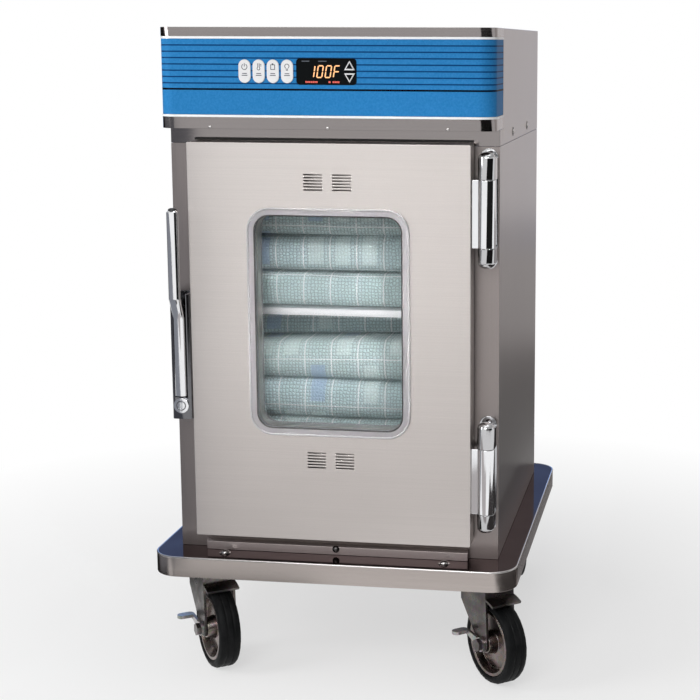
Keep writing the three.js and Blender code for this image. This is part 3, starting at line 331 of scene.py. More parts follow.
STEEL = brushed("steel_door", (0.625, 0.583, 0.56), 0.34)
# Painted shade: the frame, sill, casing, top and hood rails are the door's steel in darker copies of its
# colour, standing in for the shade and dark reflections on those faces
STEEL_FRAME_SHADED = brushed("steel_frame_shaded", (0.305, 0.272, 0.263), 0.34, GRAIN_UPRIGHT)
STEEL_SILL_SHADED = brushed("steel_sill_shaded", (0.47, 0.42, 0.41), 0.34)
STEEL_CASING_SHADED = brushed("steel_casing_shaded", (0.46, 0.43, 0.42), 0.32)
STEEL_TOP_SHADED = brushed("steel_top_shaded", (0.46, 0.43, 0.42), 0.32, GRAIN_CROSS)
STEEL_RAIL_SHADED = brushed("steel_rail_shaded", (0.28, 0.257, 0.253), 0.13)
LINER = brushed("steel_liner", (0.62, 0.62, 0.63), 0.40)
SHELF = brushed("steel_shelf", (0.93, 0.93, 0.94), 0.45)
BASE = base_metal()
CHROME = polished("chrome", (0.84, 0.845, 0.86), 0.05)
# Painted shade: the hinges' frame leaves and domed caps take a darker copy of the chrome, standing in for
# the dark reflections on them
CHROME_SHADED = polished("chrome_shaded", (0.55, 0.55, 0.56), 0.06)
DARK_CHROME = polished("chrome_dark", (0.17, 0.17, 0.18), 0.10)
ZINC = caster_metal("caster_zinc", (0.16, 0.145, 0.14), 0.30)
PEDAL = caster_metal("pedal_zinc", (0.50, 0.48, 0.47), 0.36)
HUB = caster_metal("caster_hub_metal", (0.24, 0.20, 0.185), 0.24)
DARK_ZINC = caster_metal("dark_zinc", (0.10, 0.095, 0.095), 0.42)
# Steel lighter than the pan for the bead on its rim: a real rounded edge with a painted highlight
EDGE_STEEL_HIGHLIGHTED = polished("edge_steel_highlighted", (0.60, 0.58, 0.57), 0.16)
BOLT = polished("bolt_steel", (0.55, 0.53, 0.52), 0.16)
DARK_BOLT = polished("bolt_dark", (0.10, 0.095, 0.095), 0.20)
TYRE = tyre_rubber()
# Grey lighter than the trim for the bead on its outer rim: a real bead with a painted highlight
BEAD_HIGHLIGHTED = moulded("trim_bead_highlighted", (0.46, 0.45, 0.46), 0.22, 700.0, 0.03, Coat_Weight=0.6, Coat_Roughness=0.08)
TRIM = moulded("grey_trim", (0.31, 0.298, 0.31), 0.34, 700.0, 0.04, Coat_Weight=0.8, Coat_Roughness=0.12)
GASKET = moulded("gasket_rubber", (0.03, 0.029, 0.028), 0.65, 600.0, 0.15)
FASCIA = fascia_print()
# White of the strips along the hood rails' edges: a painted highlight
PAINTED_HIGHLIGHT = moulded("painted_highlight_white", (0.90, 0.91, 0.92), 0.25, 800.0, 0.03)
KEY = moulded("key_white", (0.78, 0.78, 0.79), 0.40, 900.0, 0.05)
INK = moulded("key_ink", (0.07, 0.08, 0.10), 0.60, 900.0, 0.05)
SCREEN = moulded("display_black", (0.004, 0.005, 0.0055), 0.20, 500.0, 0.01, Specular_IOR_Level=0.04)
BLACK = moulded("black_plastic", (0.020, 0.020, 0.021), 0.45, 700.0, 0.12)
BOARD = moulded("circuit_board", (0.03, 0.16, 0.07), 0.45, 300.0, 0.10)
WOOL = moulded("mineral_wool", (0.62, 0.56, 0.36), 0.95, 240.0, 0.8)
GLASS = clear_glass()
DIGIT = glowing("digit_orange", (0.92, 0.46, 0.20), 0.75)
MARK = glowing("mark_red", (0.62, 0.09, 0.07), 0.55)
AQUA = blanket_cloth("blanket_aqua", (0.63, 0.80, 0.80))
TEAL = blanket_cloth("blanket_teal", (0.60, 0.77, 0.79))

# Finishes by a node's name, or else by how the name starts, or else the door's steel
FINISH = {
    "outer_casing": STEEL_CASING_SHADED, "top_cover": STEEL_TOP_SHADED, "rear_cover": STEEL_CASING_SHADED,
    "face_frame": STEEL_FRAME_SHADED, "sill_strip": STEEL_SILL_SHADED, "hood_shell": STEEL_RAIL_SHADED,
    "inner_liner": LINER, "shelf": SHELF, "heater_guard": LINER,
    "base_pan": BASE, "base_subframe": DARK_ZINC, "insulation_wrap": WOOL,
    "control_fascia": FASCIA, "display_window": SCREEN, "control_board": BOARD, "power_inlet": BLACK,
    "window_trim": TRIM, "window_trim_inner": TRIM, "door_gasket": GASKET,
    "window_glass_outer": GLASS, "window_glass_inner": GLASS,
    "latch_housing": DARK_CHROME, "heater_element": DARK_ZINC, "strike_plate": ZINC, "latch_pin": ZINC,
}
FINISH_FAMILY = (
    ("panel_key", KEY), ("arrow_key", KEY), ("caster_tyre", TYRE), ("caster_hub", HUB),
    ("caster_fork", ZINC), ("caster_plate", DARK_ZINC), ("brake_pedal", PEDAL), ("hinge_pin", ZINC),
    ("hinge_frame", CHROME_SHADED), ("hinge", CHROME), ("latch", CHROME), ("lock", CHROME),
)

# Edge radii in millimetres, found in the same way
EDGE = {
    "base_pan": 0.7, "door_outer_pan": 1.2, "hood_shell": 1.2, "window_trim": 3.0, "latch_handle": 5.5,
    "latch_housing": 1.6, "shelf": 0.6, "face_frame": 0.5, "outer_casing": 0.9, "top_cover": 0.9,
    "rear_cover": 0.6,
}
EDGE_FAMILY = (
    ("panel_key", 0.5), ("arrow_key", 0.4), ("caster_fork", 1.6), ("brake_pedal", 1.2),
    ("caster_tyre", 1.0), ("caster_hub", 0.8), ("hinge_frame", 1.0), ("hinge_door", 0.8),
)
EDGE_PLAIN = 0.35
BEVEL_FROM = math.radians(38)
SHARP_FROM = math.radians(40)


def first_match(name, table, fallback):
    """The value of the first row that the name starts with."""
    return next((value for start, value in table if name.startswith(start)), fallback)


def dress(name, node):
    """A CAD node gets its finish, and its sharp edges a small radius."""
    material = FINISH.get(name) or first_match(name, FINISH_FAMILY, STEEL)
    node.data.materials.clear()
    node.data.materials.append(material)
    node.data.shade_smooth()
    weld = node.modifiers.new("weld", "WELD")
    weld.merge_threshold = 1e-6
    width = EDGE.get(name) or first_match(name, EDGE_FAMILY, EDGE_PLAIN)
    bevel = node.modifiers.new("edges", "BEVEL")
    bevel.width = width * MM
    bevel.segments = 3 if width > 1 else 2
    bevel.limit_method = "ANGLE"
    bevel.angle_limit = BEVEL_FROM
    bevel.use_clamp_overlap = True
    bevel.harden_normals = True
    node.modifiers.new("normals", "WEIGHTED_NORMAL").keep_sharp = True


for node_name, node_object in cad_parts.items():
    dress(node_name, node_object)


# Mesh helpers

# How deep prints are sunk into their face, and how far ink, or a figure or arrow, stands proud of it
PRINT_SUNK = 0.05 * MM
INK_PROUD = 0.06 * MM
FORM_PROUD = 0.08 * MM


def add_mesh(name, vertices, faces, material, body, smooth, uvs=None):
    """A piece that rides on a body, with its faces turned outward."""
    mesh = bpy.data.meshes.new(name)
    mesh.from_pydata([tuple(v) for v in vertices], [], faces)
    if uvs:
        layer = mesh.uv_layers.new(name="UVMap")
        for loop in mesh.loops:
            layer.data[loop.index].uv = uvs[loop.vertex_index]
    mesh.materials.append(material)
    made = bpy.data.objects.new(name, mesh)
    bpy.context.collection.objects.link(made)
    fix = bmesh.new()
    fix.from_mesh(mesh)
    bmesh.ops.recalc_face_normals(fix, faces=fix.faces)
    fix.to_mesh(mesh)
    fix.free()
    if smooth:
        mesh.shade_smooth()
        mesh.set_sharp_from_angle(angle=SHARP_FROM)
    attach(made, body)
    return made


def tube_faces(rings, count):
    """Faces of a tube that closes on itself, made of rings with the same count of points."""
    return [(k * count + i, k * count + (i + 1) % count,
             (k + 1) % rings * count + (i + 1) % count, (k + 1) % rings * count + i)
            for k in range(rings) for i in range(count)]


def bar(x0, z0, x1, z1):
    """An upright rectangle between two corners."""
    return [(x0, z0), (x1, z0), (x1, z1), (x0, z1)]


class Pile:
    """Vertices and faces of several small forms that make one piece."""

    def __init__(self):
        self.vertices, self.faces = [], []

    def add(self, vertices, faces):
        start = len(self.vertices)
        self.vertices += vertices
        self.faces += [tuple(start + i for i in face) for face in faces]

    def prism(self, points, back, front):
        """A flat outline in X and Z (metres), thick from back to front in Y."""
        n = len(points)
        self.add([Vector((x, y, z)) for y in (back, front) for x, z in points],
                 [tuple(range(n)), tuple(range(2 * n - 1, n - 1, -1))]
                 + [(i, (i + 1) % n, n + (i + 1) % n, n + i) for i in range(n)])

    def printed(self, points, face, proud):
        """A thin flat form on a face that looks forward."""
        self.prism(points, face + PRINT_SUNK, face - proud)

    def turned(self, profile, origin, axis, sides):
        """A profile of (radius, height) in millimetres, turned about an axis and closed at both ends."""
        turn = Vector((0, 0, 1)).rotation_difference(Vector(axis)).to_matrix()
        angles = [2 * math.pi * k / sides for k in range(sides)]
        rings = []
        for radius, height in profile:
            reach = radius * MM
            rings += [origin + turn @ Vector((reach * math.cos(a), reach * math.sin(a), height * MM))
                      for a in angles]
        faces = []
        for r in range(len(profile) - 1):
            for k in range(sides):
                j = (k + 1) % sides
                faces.append((r * sides + k, r * sides + j, (r + 1) * sides + j, (r + 1) * sides + k))
        last = (len(profile) - 1) * sides
        faces.append(tuple(range(sides - 1, -1, -1)))
        faces.append(tuple(range(last, last + sides)))
        self.add(rings, faces)

    def piece(self, name, material, body, smooth=True):
        add_mesh(name, self.vertices, self.faces, material, body, smooth)


# Fasteners, small trim, and strips of painted highlight and painted shadow: plain numbers are millimetres,
# values with FRONT, at or MM are metres

# White strips along the rails' edges at the blue overlay, painted highlights, between two heights above the
# deck in millimetres
FASCIA_HIGHLIGHTS = (("fascia_highlight_upper", 768.6, 771.8), ("fascia_highlight_lower", 657.8, 661.0))
HOOD_SCREWS_X, HOOD_SCREWS_Z = (-168, 5, 178), 643.5
SIDE_SCREWS_BEHIND, SIDE_SCREWS_Z, SIDE_SCREWS_RISE = (150, 335), 631, 0.2
SIDE_WASHER = [(7.0, -0.2), (7.0, 0.3), (3.6, 0.3)]
REAR_INSET_X, REAR_INSET_Z = 14 * MM, 12 * MM
BUMPER_BOLTS_X = (-168, 168)
BUMPER_BOLTS_Y = (FRONT - 0.031, -FRONT + 0.041)
BUMPER_FLANGE = [(8.5, -0.3), (8.5, 0.9), (7.6, 1.3)]
BUMPER_HEAD_RISE = 1.2 * MM
# Inset, heights above the door's top, and depths of the black strip that paints the shadow above the door
TOP_SHADOW_INSET, TOP_SHADOW_LOW, TOP_SHADOW_HIGH = 2 * MM, 1.2 * MM, 4.6 * MM
TOP_SHADOW_SUNK, TOP_SHADOW_PROUD = 0.1 * MM, 6.0 * MM
SILL_KNOB = at(0, 15, 9)
GRIP_PLUG = [(6.2, -0.4), (6.4, 1.2), (5.8, 2.6), (4.4, 3.5), (2.4, 4.0)]
GRIP_PLUG_BEHIND, GRIP_PLUG_SUNK = 7.0 * MM, 2.2 * MM
LOCK_RING = [(7.4, -0.3), (7.4, 0.2), (7.1, 0.45), (6.3, 0.45), (6.0, 0.2), (6.0, -0.3)]
TRIM_CORNER, BASE_CORNER = 34.0 * MM, 41.0 * MM
BUMPER_INSET = 1.0 * MM


def dome(radius, height, steps=6):
    """A domed head, from a foot sunk in the face to just short of its crown."""
    foot, last = -0.4, math.radians(86)
    angles = [last * k / steps for k in range(steps + 1)]
    return [(radius, foot)] + [(radius * math.cos(a), height * math.sin(a)) for a in angles]


def annulus(origin, profile, sides):
    """A closed ring that faces the front: a profile of (radius, height ahead) in millimetres."""
    vertices = []
    for k in range(sides):
        a = 2 * math.pi * k / sides
        vertices += [origin + Vector((r * math.cos(a), -h, r * math.sin(a))) * MM for r, h in profile]
    return vertices, tube_faces(sides, len(profile))


def hood_highlight_strip(name, z_low, z_high):
    """A thin white strip that follows the hood's plan along one rail of the blue overlay: a painted
    highlight on the rail's edge.
    """
    corner, back = 24.0, -36.0
    proud, depth, steps = 0.25, 1.6, 8

    def outline(inset):
        radius = corner - inset
        points = [(-BODY_HALF + inset, back)]
        for centre, start in ((-BODY_HALF + corner, 180), (BODY_HALF - corner, 270)):
            for k in range(steps + 1):
                a = math.radians(start + 90 * k / steps)
                points.append((centre + radius * math.cos(a), HOOD_REACH - corner - radius * math.sin(a)))
        return points + [(BODY_HALF - inset, back)]

    outer, inner = outline(-proud), outline(depth)
    vertices = [at(x, p, z) for ring in (outer, inner) for z in (z_low, z_high) for x, p in ring]
    n = len(outer)
    faces = []
    for i in range(n - 1):
        a, b, c, d = i, n + i, 2 * n + i, 3 * n + i
        faces += [(a, a + 1, b + 1, b), (c, d, d + 1, c + 1), (b, b + 1, d + 1, d), (a, c, c + 1, a + 1)]
    faces += [(0, n, 3 * n, 2 * n), (n - 1, 3 * n - 1, 4 * n - 1, 2 * n - 1)]
    add_mesh(name, vertices, faces, PAINTED_HIGHLIGHT, "cabinet", smooth=True)


for highlight_name, edge_low, edge_high in FASCIA_HIGHLIGHTS:
    hood_highlight_strip(highlight_name, edge_low, edge_high)

hood_screws = Pile()
for screw_x in HOOD_SCREWS_X:
    hood_screws.turned(dome(2.2, 1.2), at(screw_x, HOOD_REACH, HOOD_SCREWS_Z), (0, -1, 0), sides=16)
hood_screws.piece("hood_screws", BOLT, "cabinet")

side_screws, side_washers = Pile(), Pile()
for side in (-1, 1):
    for behind in SIDE_SCREWS_BEHIND:
        outward = (side, 0, 0)
        seat = at(side * BODY_HALF, -behind, SIDE_SCREWS_Z)
        side_washers.turned(SIDE_WASHER, seat, outward, sides=24)
        on_washer = at(side * (BODY_HALF + SIDE_SCREWS_RISE), -behind, SIDE_SCREWS_Z)
        side_screws.turned(dome(3.6, 2.4), on_washer, outward, sides=20)
side_screws.piece("side_screws", BOLT, "cabinet")
side_washers.piece("side_screw_washers", GASKET, "cabinet")

rear_low, rear_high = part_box("rear_cover")
rear_screws = Pile()
for screw_x in (rear_low.x + REAR_INSET_X, (rear_low.x + rear_high.x) / 2, rear_high.x - REAR_INSET_X):
    for screw_z in (rear_low.z + REAR_INSET_Z, rear_high.z - REAR_INSET_Z):
        rear_screws.turned(dome(3.4, 2.2), Vector((screw_x, rear_high.y, screw_z)), (0, 1, 0), sides=20)
rear_screws.piece("rear_screws", BOLT, "cabinet")

bumper_bolts = Pile()
for bolt_x in BUMPER_BOLTS_X:
    for bolt_y in BUMPER_BOLTS_Y:
        spot = Vector((bolt_x * MM, bolt_y, DECK))
        bumper_bolts.turned(BUMPER_FLANGE, spot, (0, 0, 1), sides=28)
        on_flange = spot + Vector((0, 0, BUMPER_HEAD_RISE))
        bumper_bolts.turned(dome(6.2, 4.2), on_flange, (0, 0, 1), sides=28)
bumper_bolts.piece("bumper_bolts", BOLT, "cabinet")

door_low, door_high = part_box("door_outer_pan")
# A black strip along the top of the door: a painted shadow in the gap between the door and the frame above
# it
top_shadow = Pile()
top_shadow.prism(bar(door_low.x + TOP_SHADOW_INSET, door_high.z + TOP_SHADOW_LOW,
                    door_high.x - TOP_SHADOW_INSET, door_high.z + TOP_SHADOW_HIGH),
                FRONT + TOP_SHADOW_SUNK, FRONT - TOP_SHADOW_PROUD)
top_shadow.piece("door_top_shadow", GASKET, "cabinet", smooth=False)

sill_knob = Pile()
sill_knob.turned(dome(5.5, 4.0, steps=8), SILL_KNOB, (0, -1, 0), sides=28)
sill_knob.piece("sill_knob", DARK_BOLT, "cabinet")

grip_low, grip_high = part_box("latch_handle")
grip_spot = Vector(((grip_low.x + grip_high.x) / 2, grip_low.y + GRIP_PLUG_BEHIND,
                    grip_high.z - GRIP_PLUG_SUNK))
grip_plug = Pile()
grip_plug.turned(GRIP_PLUG, grip_spot, (0, 0, 1), sides=28)
grip_plug.piece("latch_grip_plug", BLACK, "latch_lever")

lock_low, lock_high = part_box("lock_cylinder")
lock_spot = Vector(((lock_low.x + lock_high.x) / 2, lock_low.y, (lock_low.z + lock_high.z) / 2))
lock_ring = Pile()
lock_ring.add(*annulus(lock_spot, LOCK_RING, sides=40))
lock_ring.piece("lock_face_ring", DARK_CHROME, "lock")


def rounded_loop(left, right, low, high, corner, steps=8):
    """Points of a rounded rectangle between four sides, counted anticlockwise."""
    points = []
    for cx, cy, start in ((right - corner, high - corner, 0), (left + corner, high - corner, 90),
                          (left + corner, low + corner, 180), (right - corner, low + corner, 270)):
        for k in range(steps + 1):
            a = math.radians(start + 90 * k / steps)
            points.append((cx + corner * math.cos(a), cy + corner * math.sin(a)))
    return points


def bead(name, material, body, loop_at, radius, sides=10):
    """A round bead along a closed loop.

    loop_at gives the loop's points for an offset outward and one square to the loop's plane.
    """
    rings = []
    for k in range(sides):
        a = 2 * math.pi * k / sides
        rings.append(loop_at(radius * math.cos(a), radius * math.sin(a)))
    faces = tube_faces(sides, len(rings[0]))
    add_mesh(name, [v for one in rings for v in one], faces, material, body, smooth=True)


def window_loop(inset, face):
    """A loop inside the rim of the window trim, at a depth in Y."""
    low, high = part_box("window_trim")

    def loop_at(out, ahead):
        inward = inset - out
        loop = rounded_loop(low.x + inward, high.x - inward, low.z + inward, high.z - inward,
                            TRIM_CORNER - inward)
        return [Vector((x, face - ahead, z)) for x, z in loop]
    return loop_at


def bumper_loop(out, above):
    """The rim of the pan. Its rear is the rear of the whole cabinet, so the bead stops there."""
    low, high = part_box("base_pan")
    inward = BUMPER_INSET - out
    loop = rounded_loop(low.x + inward, high.x - inward, low.y + inward, high.y - inward,
                        BASE_CORNER - inward, steps=12)
    return [Vector((x, min(y, high.y), high.z - BUMPER_INSET + above)) for x, y in loop]


trim_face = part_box("window_trim")[0].y
# A round bead on the trim's outer rim, lighter than the trim: a real rounded rim with a painted highlight
bead("window_bead", BEAD_HIGHLIGHTED, "door", window_loop(1.6 * MM, trim_face + 0.2 * MM), 1.6 * MM)
bead("window_seal", GASKET, "door", window_loop(11.3 * MM, trim_face + 0.8 * MM), 1.2 * MM)
# A round bead for the pan's rolled top edge, in steel lighter than the pan: a real rounded edge with a
# painted highlight
bead("bumper_edge", EDGE_STEEL_HIGHLIGHTED, "cabinet", bumper_loop, 1.5 * MM)


# Keys: generic pictograms in dark ink

def ring(centre, radius, width, sides, start, sweep):
    """An arc as a closed outline around a centre, in metres and degrees."""
    cx, cz = centre
    angles = [math.radians(start + sweep * k / sides) for k in range(sides + 1)]
    outer = [(cx + radius * math.cos(a), cz + radius * math.sin(a)) for a in angles]
    hollow = radius - width
    return outer + [(cx + hollow * math.cos(a), cz + hollow * math.sin(a)) for a in reversed(angles)]


def key_print(index):
    """One key's pictogram with two bars below it, in millimetres off the key's middle."""
    low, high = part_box(f"panel_key_{index}")
    x, z = (low.x + high.x) / 2, (low.z + high.z) / 2
    icon_z = z + 6.2 * MM
    stroke = 1.0 * MM
    ink = Pile()

    def draw(points):
        ink.printed(points, low.y, INK_PROUD)

    def arc(height, radius, sides, start, sweep):
        draw(ring((x, icon_z + height * MM), radius * MM, stroke, sides, start, sweep))

    def post(offset, start, end):
        edge = x + offset * MM
        draw(bar(edge - stroke / 2, icon_z + start * MM, edge + stroke / 2, icon_z + end * MM))

    def rung(left, right, height):
        draw(bar(x + left * MM, icon_z + height * MM, x + right * MM, icon_z + height * MM + stroke))

    if index == 1:
        arc(0.0, 4.4, 24, 120, 300)
        post(0.0, 0.4, 4.9)
    elif index == 2:
        arc(-2.4, 2.5, 20, 115, 310)
        for offset in (-1.1, 1.1):
            post(offset, -0.6, 4.8)
        for height in (0.8, 2.9):
            rung(2.3, 4.3, height)
    elif index == 3:
        for offset in (-2.9, 2.9):
            post(offset, -4.0, 3.4)
        for height in (-4.0, 2.4):
            rung(-2.4, 2.4, height)
        draw(bar(x - 1.2 * MM, icon_z + 3.4 * MM, x + 1.2 * MM, icon_z + 4.9 * MM))
    else:
        arc(1.0, 3.6, 24, -60, 300)
        for height in (-3.4, -5.0):
            rung(-1.6, 1.6, height)
    for row, reach in ((-3.8, 3.4), (-6.4, 4.2)):
        draw(bar(x - reach * MM, z + row * MM, x + reach * MM, z + (row + 1.2) * MM))
    ink.piece(f"key_print_{index}", INK, f"panel_key_{index}", smooth=False)


for key_index in range(1, 5):
    key_print(key_index)


# Display: slanted seven-segment figures and small marks, and the dark faces of the arrow keys

SEGMENTS = {"1": "bc", "0": "abcdef", "F": "aefg"}
FIGURES = "100F"
FIGURE_WIDTH, FIGURE_HEIGHT, FIGURE_STROKE = 9.0 * MM, 18.0 * MM, 1.7 * MM
FIGURE_START, FIGURE_PITCH, FIGURE_SLANT = 16.5 * MM, 12.0 * MM, 0.16
DASH_LENGTH, DASH_PITCH = 2.0, 2.6
ARROW_HALF, ARROW_FOOT, ARROW_PEAK = 4.9 * MM, 4.7 * MM, 4.0 * MM


def segment_outline(name, width, height, thick):
    """The pointed outline of one segment, a to g, in a figure with its lower left at zero."""
    half, gap, tip = height / 2, thick * 0.12, thick / 2
    rows = {"a": height, "g": half, "d": 0.0}
    if name in rows:
        z = min(max(rows[name], tip), height - tip)
        left, right = tip + gap, width - tip - gap
        return [(left, z), (left + tip, z + tip), (right - tip, z + tip),
                (right, z), (right - tip, z - tip), (left + tip, z - tip)]
    x = tip if name in "ef" else width - tip
    low, high = (half + gap, height - tip - gap) if name in "bf" else (tip + gap, half - gap)
    return [(x, low), (x + tip, low + tip), (x + tip, high - tip), (x, high),
            (x - tip, high - tip), (x - tip, low + tip)]


def dashes(first, count):
    """A row of dashes as (start, end) in millimetres."""
    return [(first + DASH_PITCH * k, first + DASH_LENGTH + DASH_PITCH * k) for k in range(count)]


screen_low, screen_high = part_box("display_window")
screen_z = (screen_low.z + screen_high.z) / 2
figures = Pile()
for place, letter in enumerate(FIGURES):
    left = screen_low.x + FIGURE_START + place * FIGURE_PITCH
    for segment in SEGMENTS[letter]:
        outline = segment_outline(segment, FIGURE_WIDTH, FIGURE_HEIGHT, FIGURE_STROKE)
        slanted = [(left + px + FIGURE_SLANT * pz, screen_z - FIGURE_HEIGHT / 2 + pz) for px, pz in outline]
        figures.printed(slanted, screen_low.y, FORM_PROUD)
figures.piece("display_figures", DIGIT, "cabinet", smooth=False)


def screen_marks(name, material, spans, low, high):
    """Bars across the display, each from a start to an end and between two heights, in millimetres."""
    marks = Pile()
    for start, end in spans:
        marks.printed(bar(screen_low.x + start * MM, screen_z + low * MM,
                          screen_low.x + end * MM, screen_z + high * MM), screen_low.y, INK_PROUD)
    marks.piece(name, material, "cabinet", smooth=False)


screen_marks("display_marks", MARK, dashes(13.0, 7) + dashes(52.5, 4) + [(46.5, 49.5)], -15.8, -13.4)
screen_marks("display_dim_marks", INK, [(8.0, 19.0), (32.0, 44.0)], 13.8, 15.2)

for arrow, direction in (("up", 1), ("down", -1)):
    arrow_low, arrow_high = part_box(f"arrow_key_{arrow}")
    x, z = (arrow_low.x + arrow_high.x) / 2, (arrow_low.z + arrow_high.z) / 2
    foot_z = z - direction * ARROW_FOOT
    triangle = [(x - ARROW_HALF, foot_z), (x + ARROW_HALF, foot_z), (x, z + direction * ARROW_PEAK)]
    arrow_face = Pile()
    arrow_face.printed(triangle, arrow_low.y, FORM_PROUD)
    arrow_face.piece(f"arrow_face_{arrow}", SCREEN, f"arrow_key_{arrow}", smooth=False)


# Folded blankets on the shelf and on the chamber floor

PLIES = 6
PLY_SLACK = 1.2 * MM
PLY_GAP = 0.25 * MM
CLOTH_COLUMNS = 40
FLAT_STEPS, BEND_STEPS = 8, 16
WAVE_HEIGHT, SWAY_REACH = 1.1 * MM, 1.5 * MM
SIDE_THINNING = 0.28
PATTERN_SHIFT = 0.043

BLANKET_FRONT = FRONT + 0.030
BLANKET_WIDTH, BLANKET_DEPTH = 0.342, 0.370
REST_GAP = 0.4 * MM
# Thickness of one folded blanket in millimetres
SHELF_THICK, FLOOR_THICK = 54.0, 60.5
FLOOR_TILTS = (0.0, 1.0 * MM, 2.0 * MM, 11.0 * MM)
LAST_WIDTH, LAST_DEPTH, LAST_THICK, LAST_LEAN = 0.338, 0.300, 30.0 * MM, 11.0 * MM
LAST_SETBACK, LAST_GAP = 0.055, 1.9 * MM
SHELF_SEED, FLOOR_SEED, LAST_SEED = 11, 21, 31


def fold_path(depth, thickness):
    """The run of the cloth's middle through a nested fold, as (distance from the front, height)."""
    pitch = (thickness - PLY_SLACK) / PLIES
    heights = [PLY_SLACK / 2 + pitch * (k + 0.5) for k in range(PLIES)]
    path = []
    for turn in range(PLIES // 2):
        # One U-turn joins a lower ply to an upper one, and each next turn lies inside the last
        lower, upper = heights[turn], heights[PLIES - 1 - turn]
        z0, z1 = (lower, upper) if turn % 2 == 0 else (upper, lower)
        radius = abs(z1 - z0) / 2
        middle = (z0 + z1) / 2
        sign = 1 if z1 > z0 else -1
        front = pitch / 2 + turn * pitch
        # Inner plies end a little short of the outer ones
        back = depth - pitch * (1.2 + 0.4 * turn)
        for k in range(FLAT_STEPS + 1):
            path.append((back + (front + radius - back) * k / FLAT_STEPS, z0))
        for k in range(1, BEND_STEPS):
            a = math.pi * k / BEND_STEPS
            # Squarer than a half circle, as a heavy fold lies
            reach, rise = abs(math.sin(a)) ** 0.5, math.copysign(abs(math.cos(a)) ** 0.75, math.cos(a))
            path.append((front + radius * (1 - reach), middle - sign * radius * rise))
        for k in range(FLAT_STEPS + 1):
            path.append((front + radius + (back - front - radius) * k / FLAT_STEPS, z1))
    return path, pitch


def folded_blanket(name, material, base, thickness, width, depth, seed, tilt=0.0, lean=0.0):
    """One blanket: a closed sheet of cloth folded over itself, wavy across its width."""
    chance = random.Random(seed)
    path, pitch = fold_path(depth, thickness)
    half = pitch / 2 - PLY_GAP
    run = [Vector((0, y, z)) for y, z in path]
    n = len(run)
    normals = []
    for i in range(n):
        tangent = (run[min(i + 1, n - 1)] - run[max(i - 1, 0)]).normalized()
        normals.append(Vector((0, -tangent.z, tangent.y)))
    length = [0.0]
    for a, b in zip(run, run[1:]):
        length.append(length[-1] + (b - a).length)
    waves = [(chance.uniform(0.6, 2.2), chance.uniform(0, 6.3), chance.uniform(0.5, 1.0)) for _ in range(4)]
    vertices, uvs = [], []
    for side in (1, -1):
        for c in range(CLOTH_COLUMNS + 1):
            share = c / CLOTH_COLUMNS
            x = (share - 0.5) * width
            lift = sum(a * math.sin(f * math.pi * share + p) for f, p, a in waves) * WAVE_HEIGHT
            swell = 1.0 - SIDE_THINNING * (abs(share - 0.5) * 2) ** 6
            for point, normal, done in zip(run, normals, length):
                spot = point + normal * half * side * swell
                height = spot.z / thickness
                sway = SWAY_REACH * math.sin(2.1 * math.pi * share + waves[0][1]) * height
                vertices.append(base + Vector((x, spot.y + sway, spot.z + lean * (share - 0.5)
                                               + (lift + tilt * (share - 0.5)) * height)))
                uvs.append((x + 1.0, done + seed * PATTERN_SHIFT))
    sheet = (CLOTH_COLUMNS + 1) * n
    faces = []
    for c in range(CLOTH_COLUMNS):
        for i in range(n - 1):
            a = c * n + i
            faces.append((a, a + 1, a + n + 1, a + n))
            faces.append((sheet + a, sheet + a + n, sheet + a + n + 1, sheet + a + 1))
    for i in range(n - 1):
        for edge in (0, CLOTH_COLUMNS * n):
            a = edge + i
            faces.append((a, a + 1, sheet + a + 1, sheet + a))
    for c in range(CLOTH_COLUMNS):
        for edge in (0, n - 1):
            a = c * n + edge
            faces.append((a, a + n, sheet + a + n, sheet + a))
    made = add_mesh(name, vertices, faces, material, "cabinet", smooth=True, uvs=uvs)


shelf_top, guard_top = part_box("shelf")[1].z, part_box("heater_guard")[1].z
for level, cloth in enumerate((AQUA, TEAL, AQUA)):
    base = Vector((0, BLANKET_FRONT, shelf_top + REST_GAP + level * SHELF_THICK * MM))
    folded_blanket(f"blanket_shelf_{level + 1}", cloth, base, SHELF_THICK * MM,
                   BLANKET_WIDTH, BLANKET_DEPTH, SHELF_SEED + level)
for level, cloth in enumerate((TEAL, AQUA, TEAL, AQUA)):
    base = Vector((0, BLANKET_FRONT, guard_top + REST_GAP + level * FLOOR_THICK * MM))
    folded_blanket(f"blanket_floor_{level + 1}", cloth, base, FLOOR_THICK * MM,
                   BLANKET_WIDTH, BLANKET_DEPTH, FLOOR_SEED + level, tilt=FLOOR_TILTS[level])
base = Vector((0, BLANKET_FRONT + LAST_SETBACK, guard_top + LAST_GAP + 4 * FLOOR_THICK * MM))
folded_blanket("blanket_floor_5", TEAL, base, LAST_THICK, LAST_WIDTH, LAST_DEPTH, LAST_SEED, lean=LAST_LEAN)


# Floor, light and camera

DARK = (0.012, 0.012, 0.012)
LATCH_GREY = (0.24, 0.25, 0.28)
# Lower and upper ends of the upright flags, and how far the lying ones float above the floor
LOW_FLAG, LATCH_FLAG = (0.0, 1.15), (0.10, 0.86)
FLOAT = 0.004


def stage_face(name, corners):
    """One four-sided face of the studio."""
    mesh = bpy.data.meshes.new(name)
    mesh.from_pydata(corners, [], [(0, 1, 2, 3)])
    made = bpy.data.objects.new(name, mesh)
    bpy.context.collection.objects.link(made)
    return made


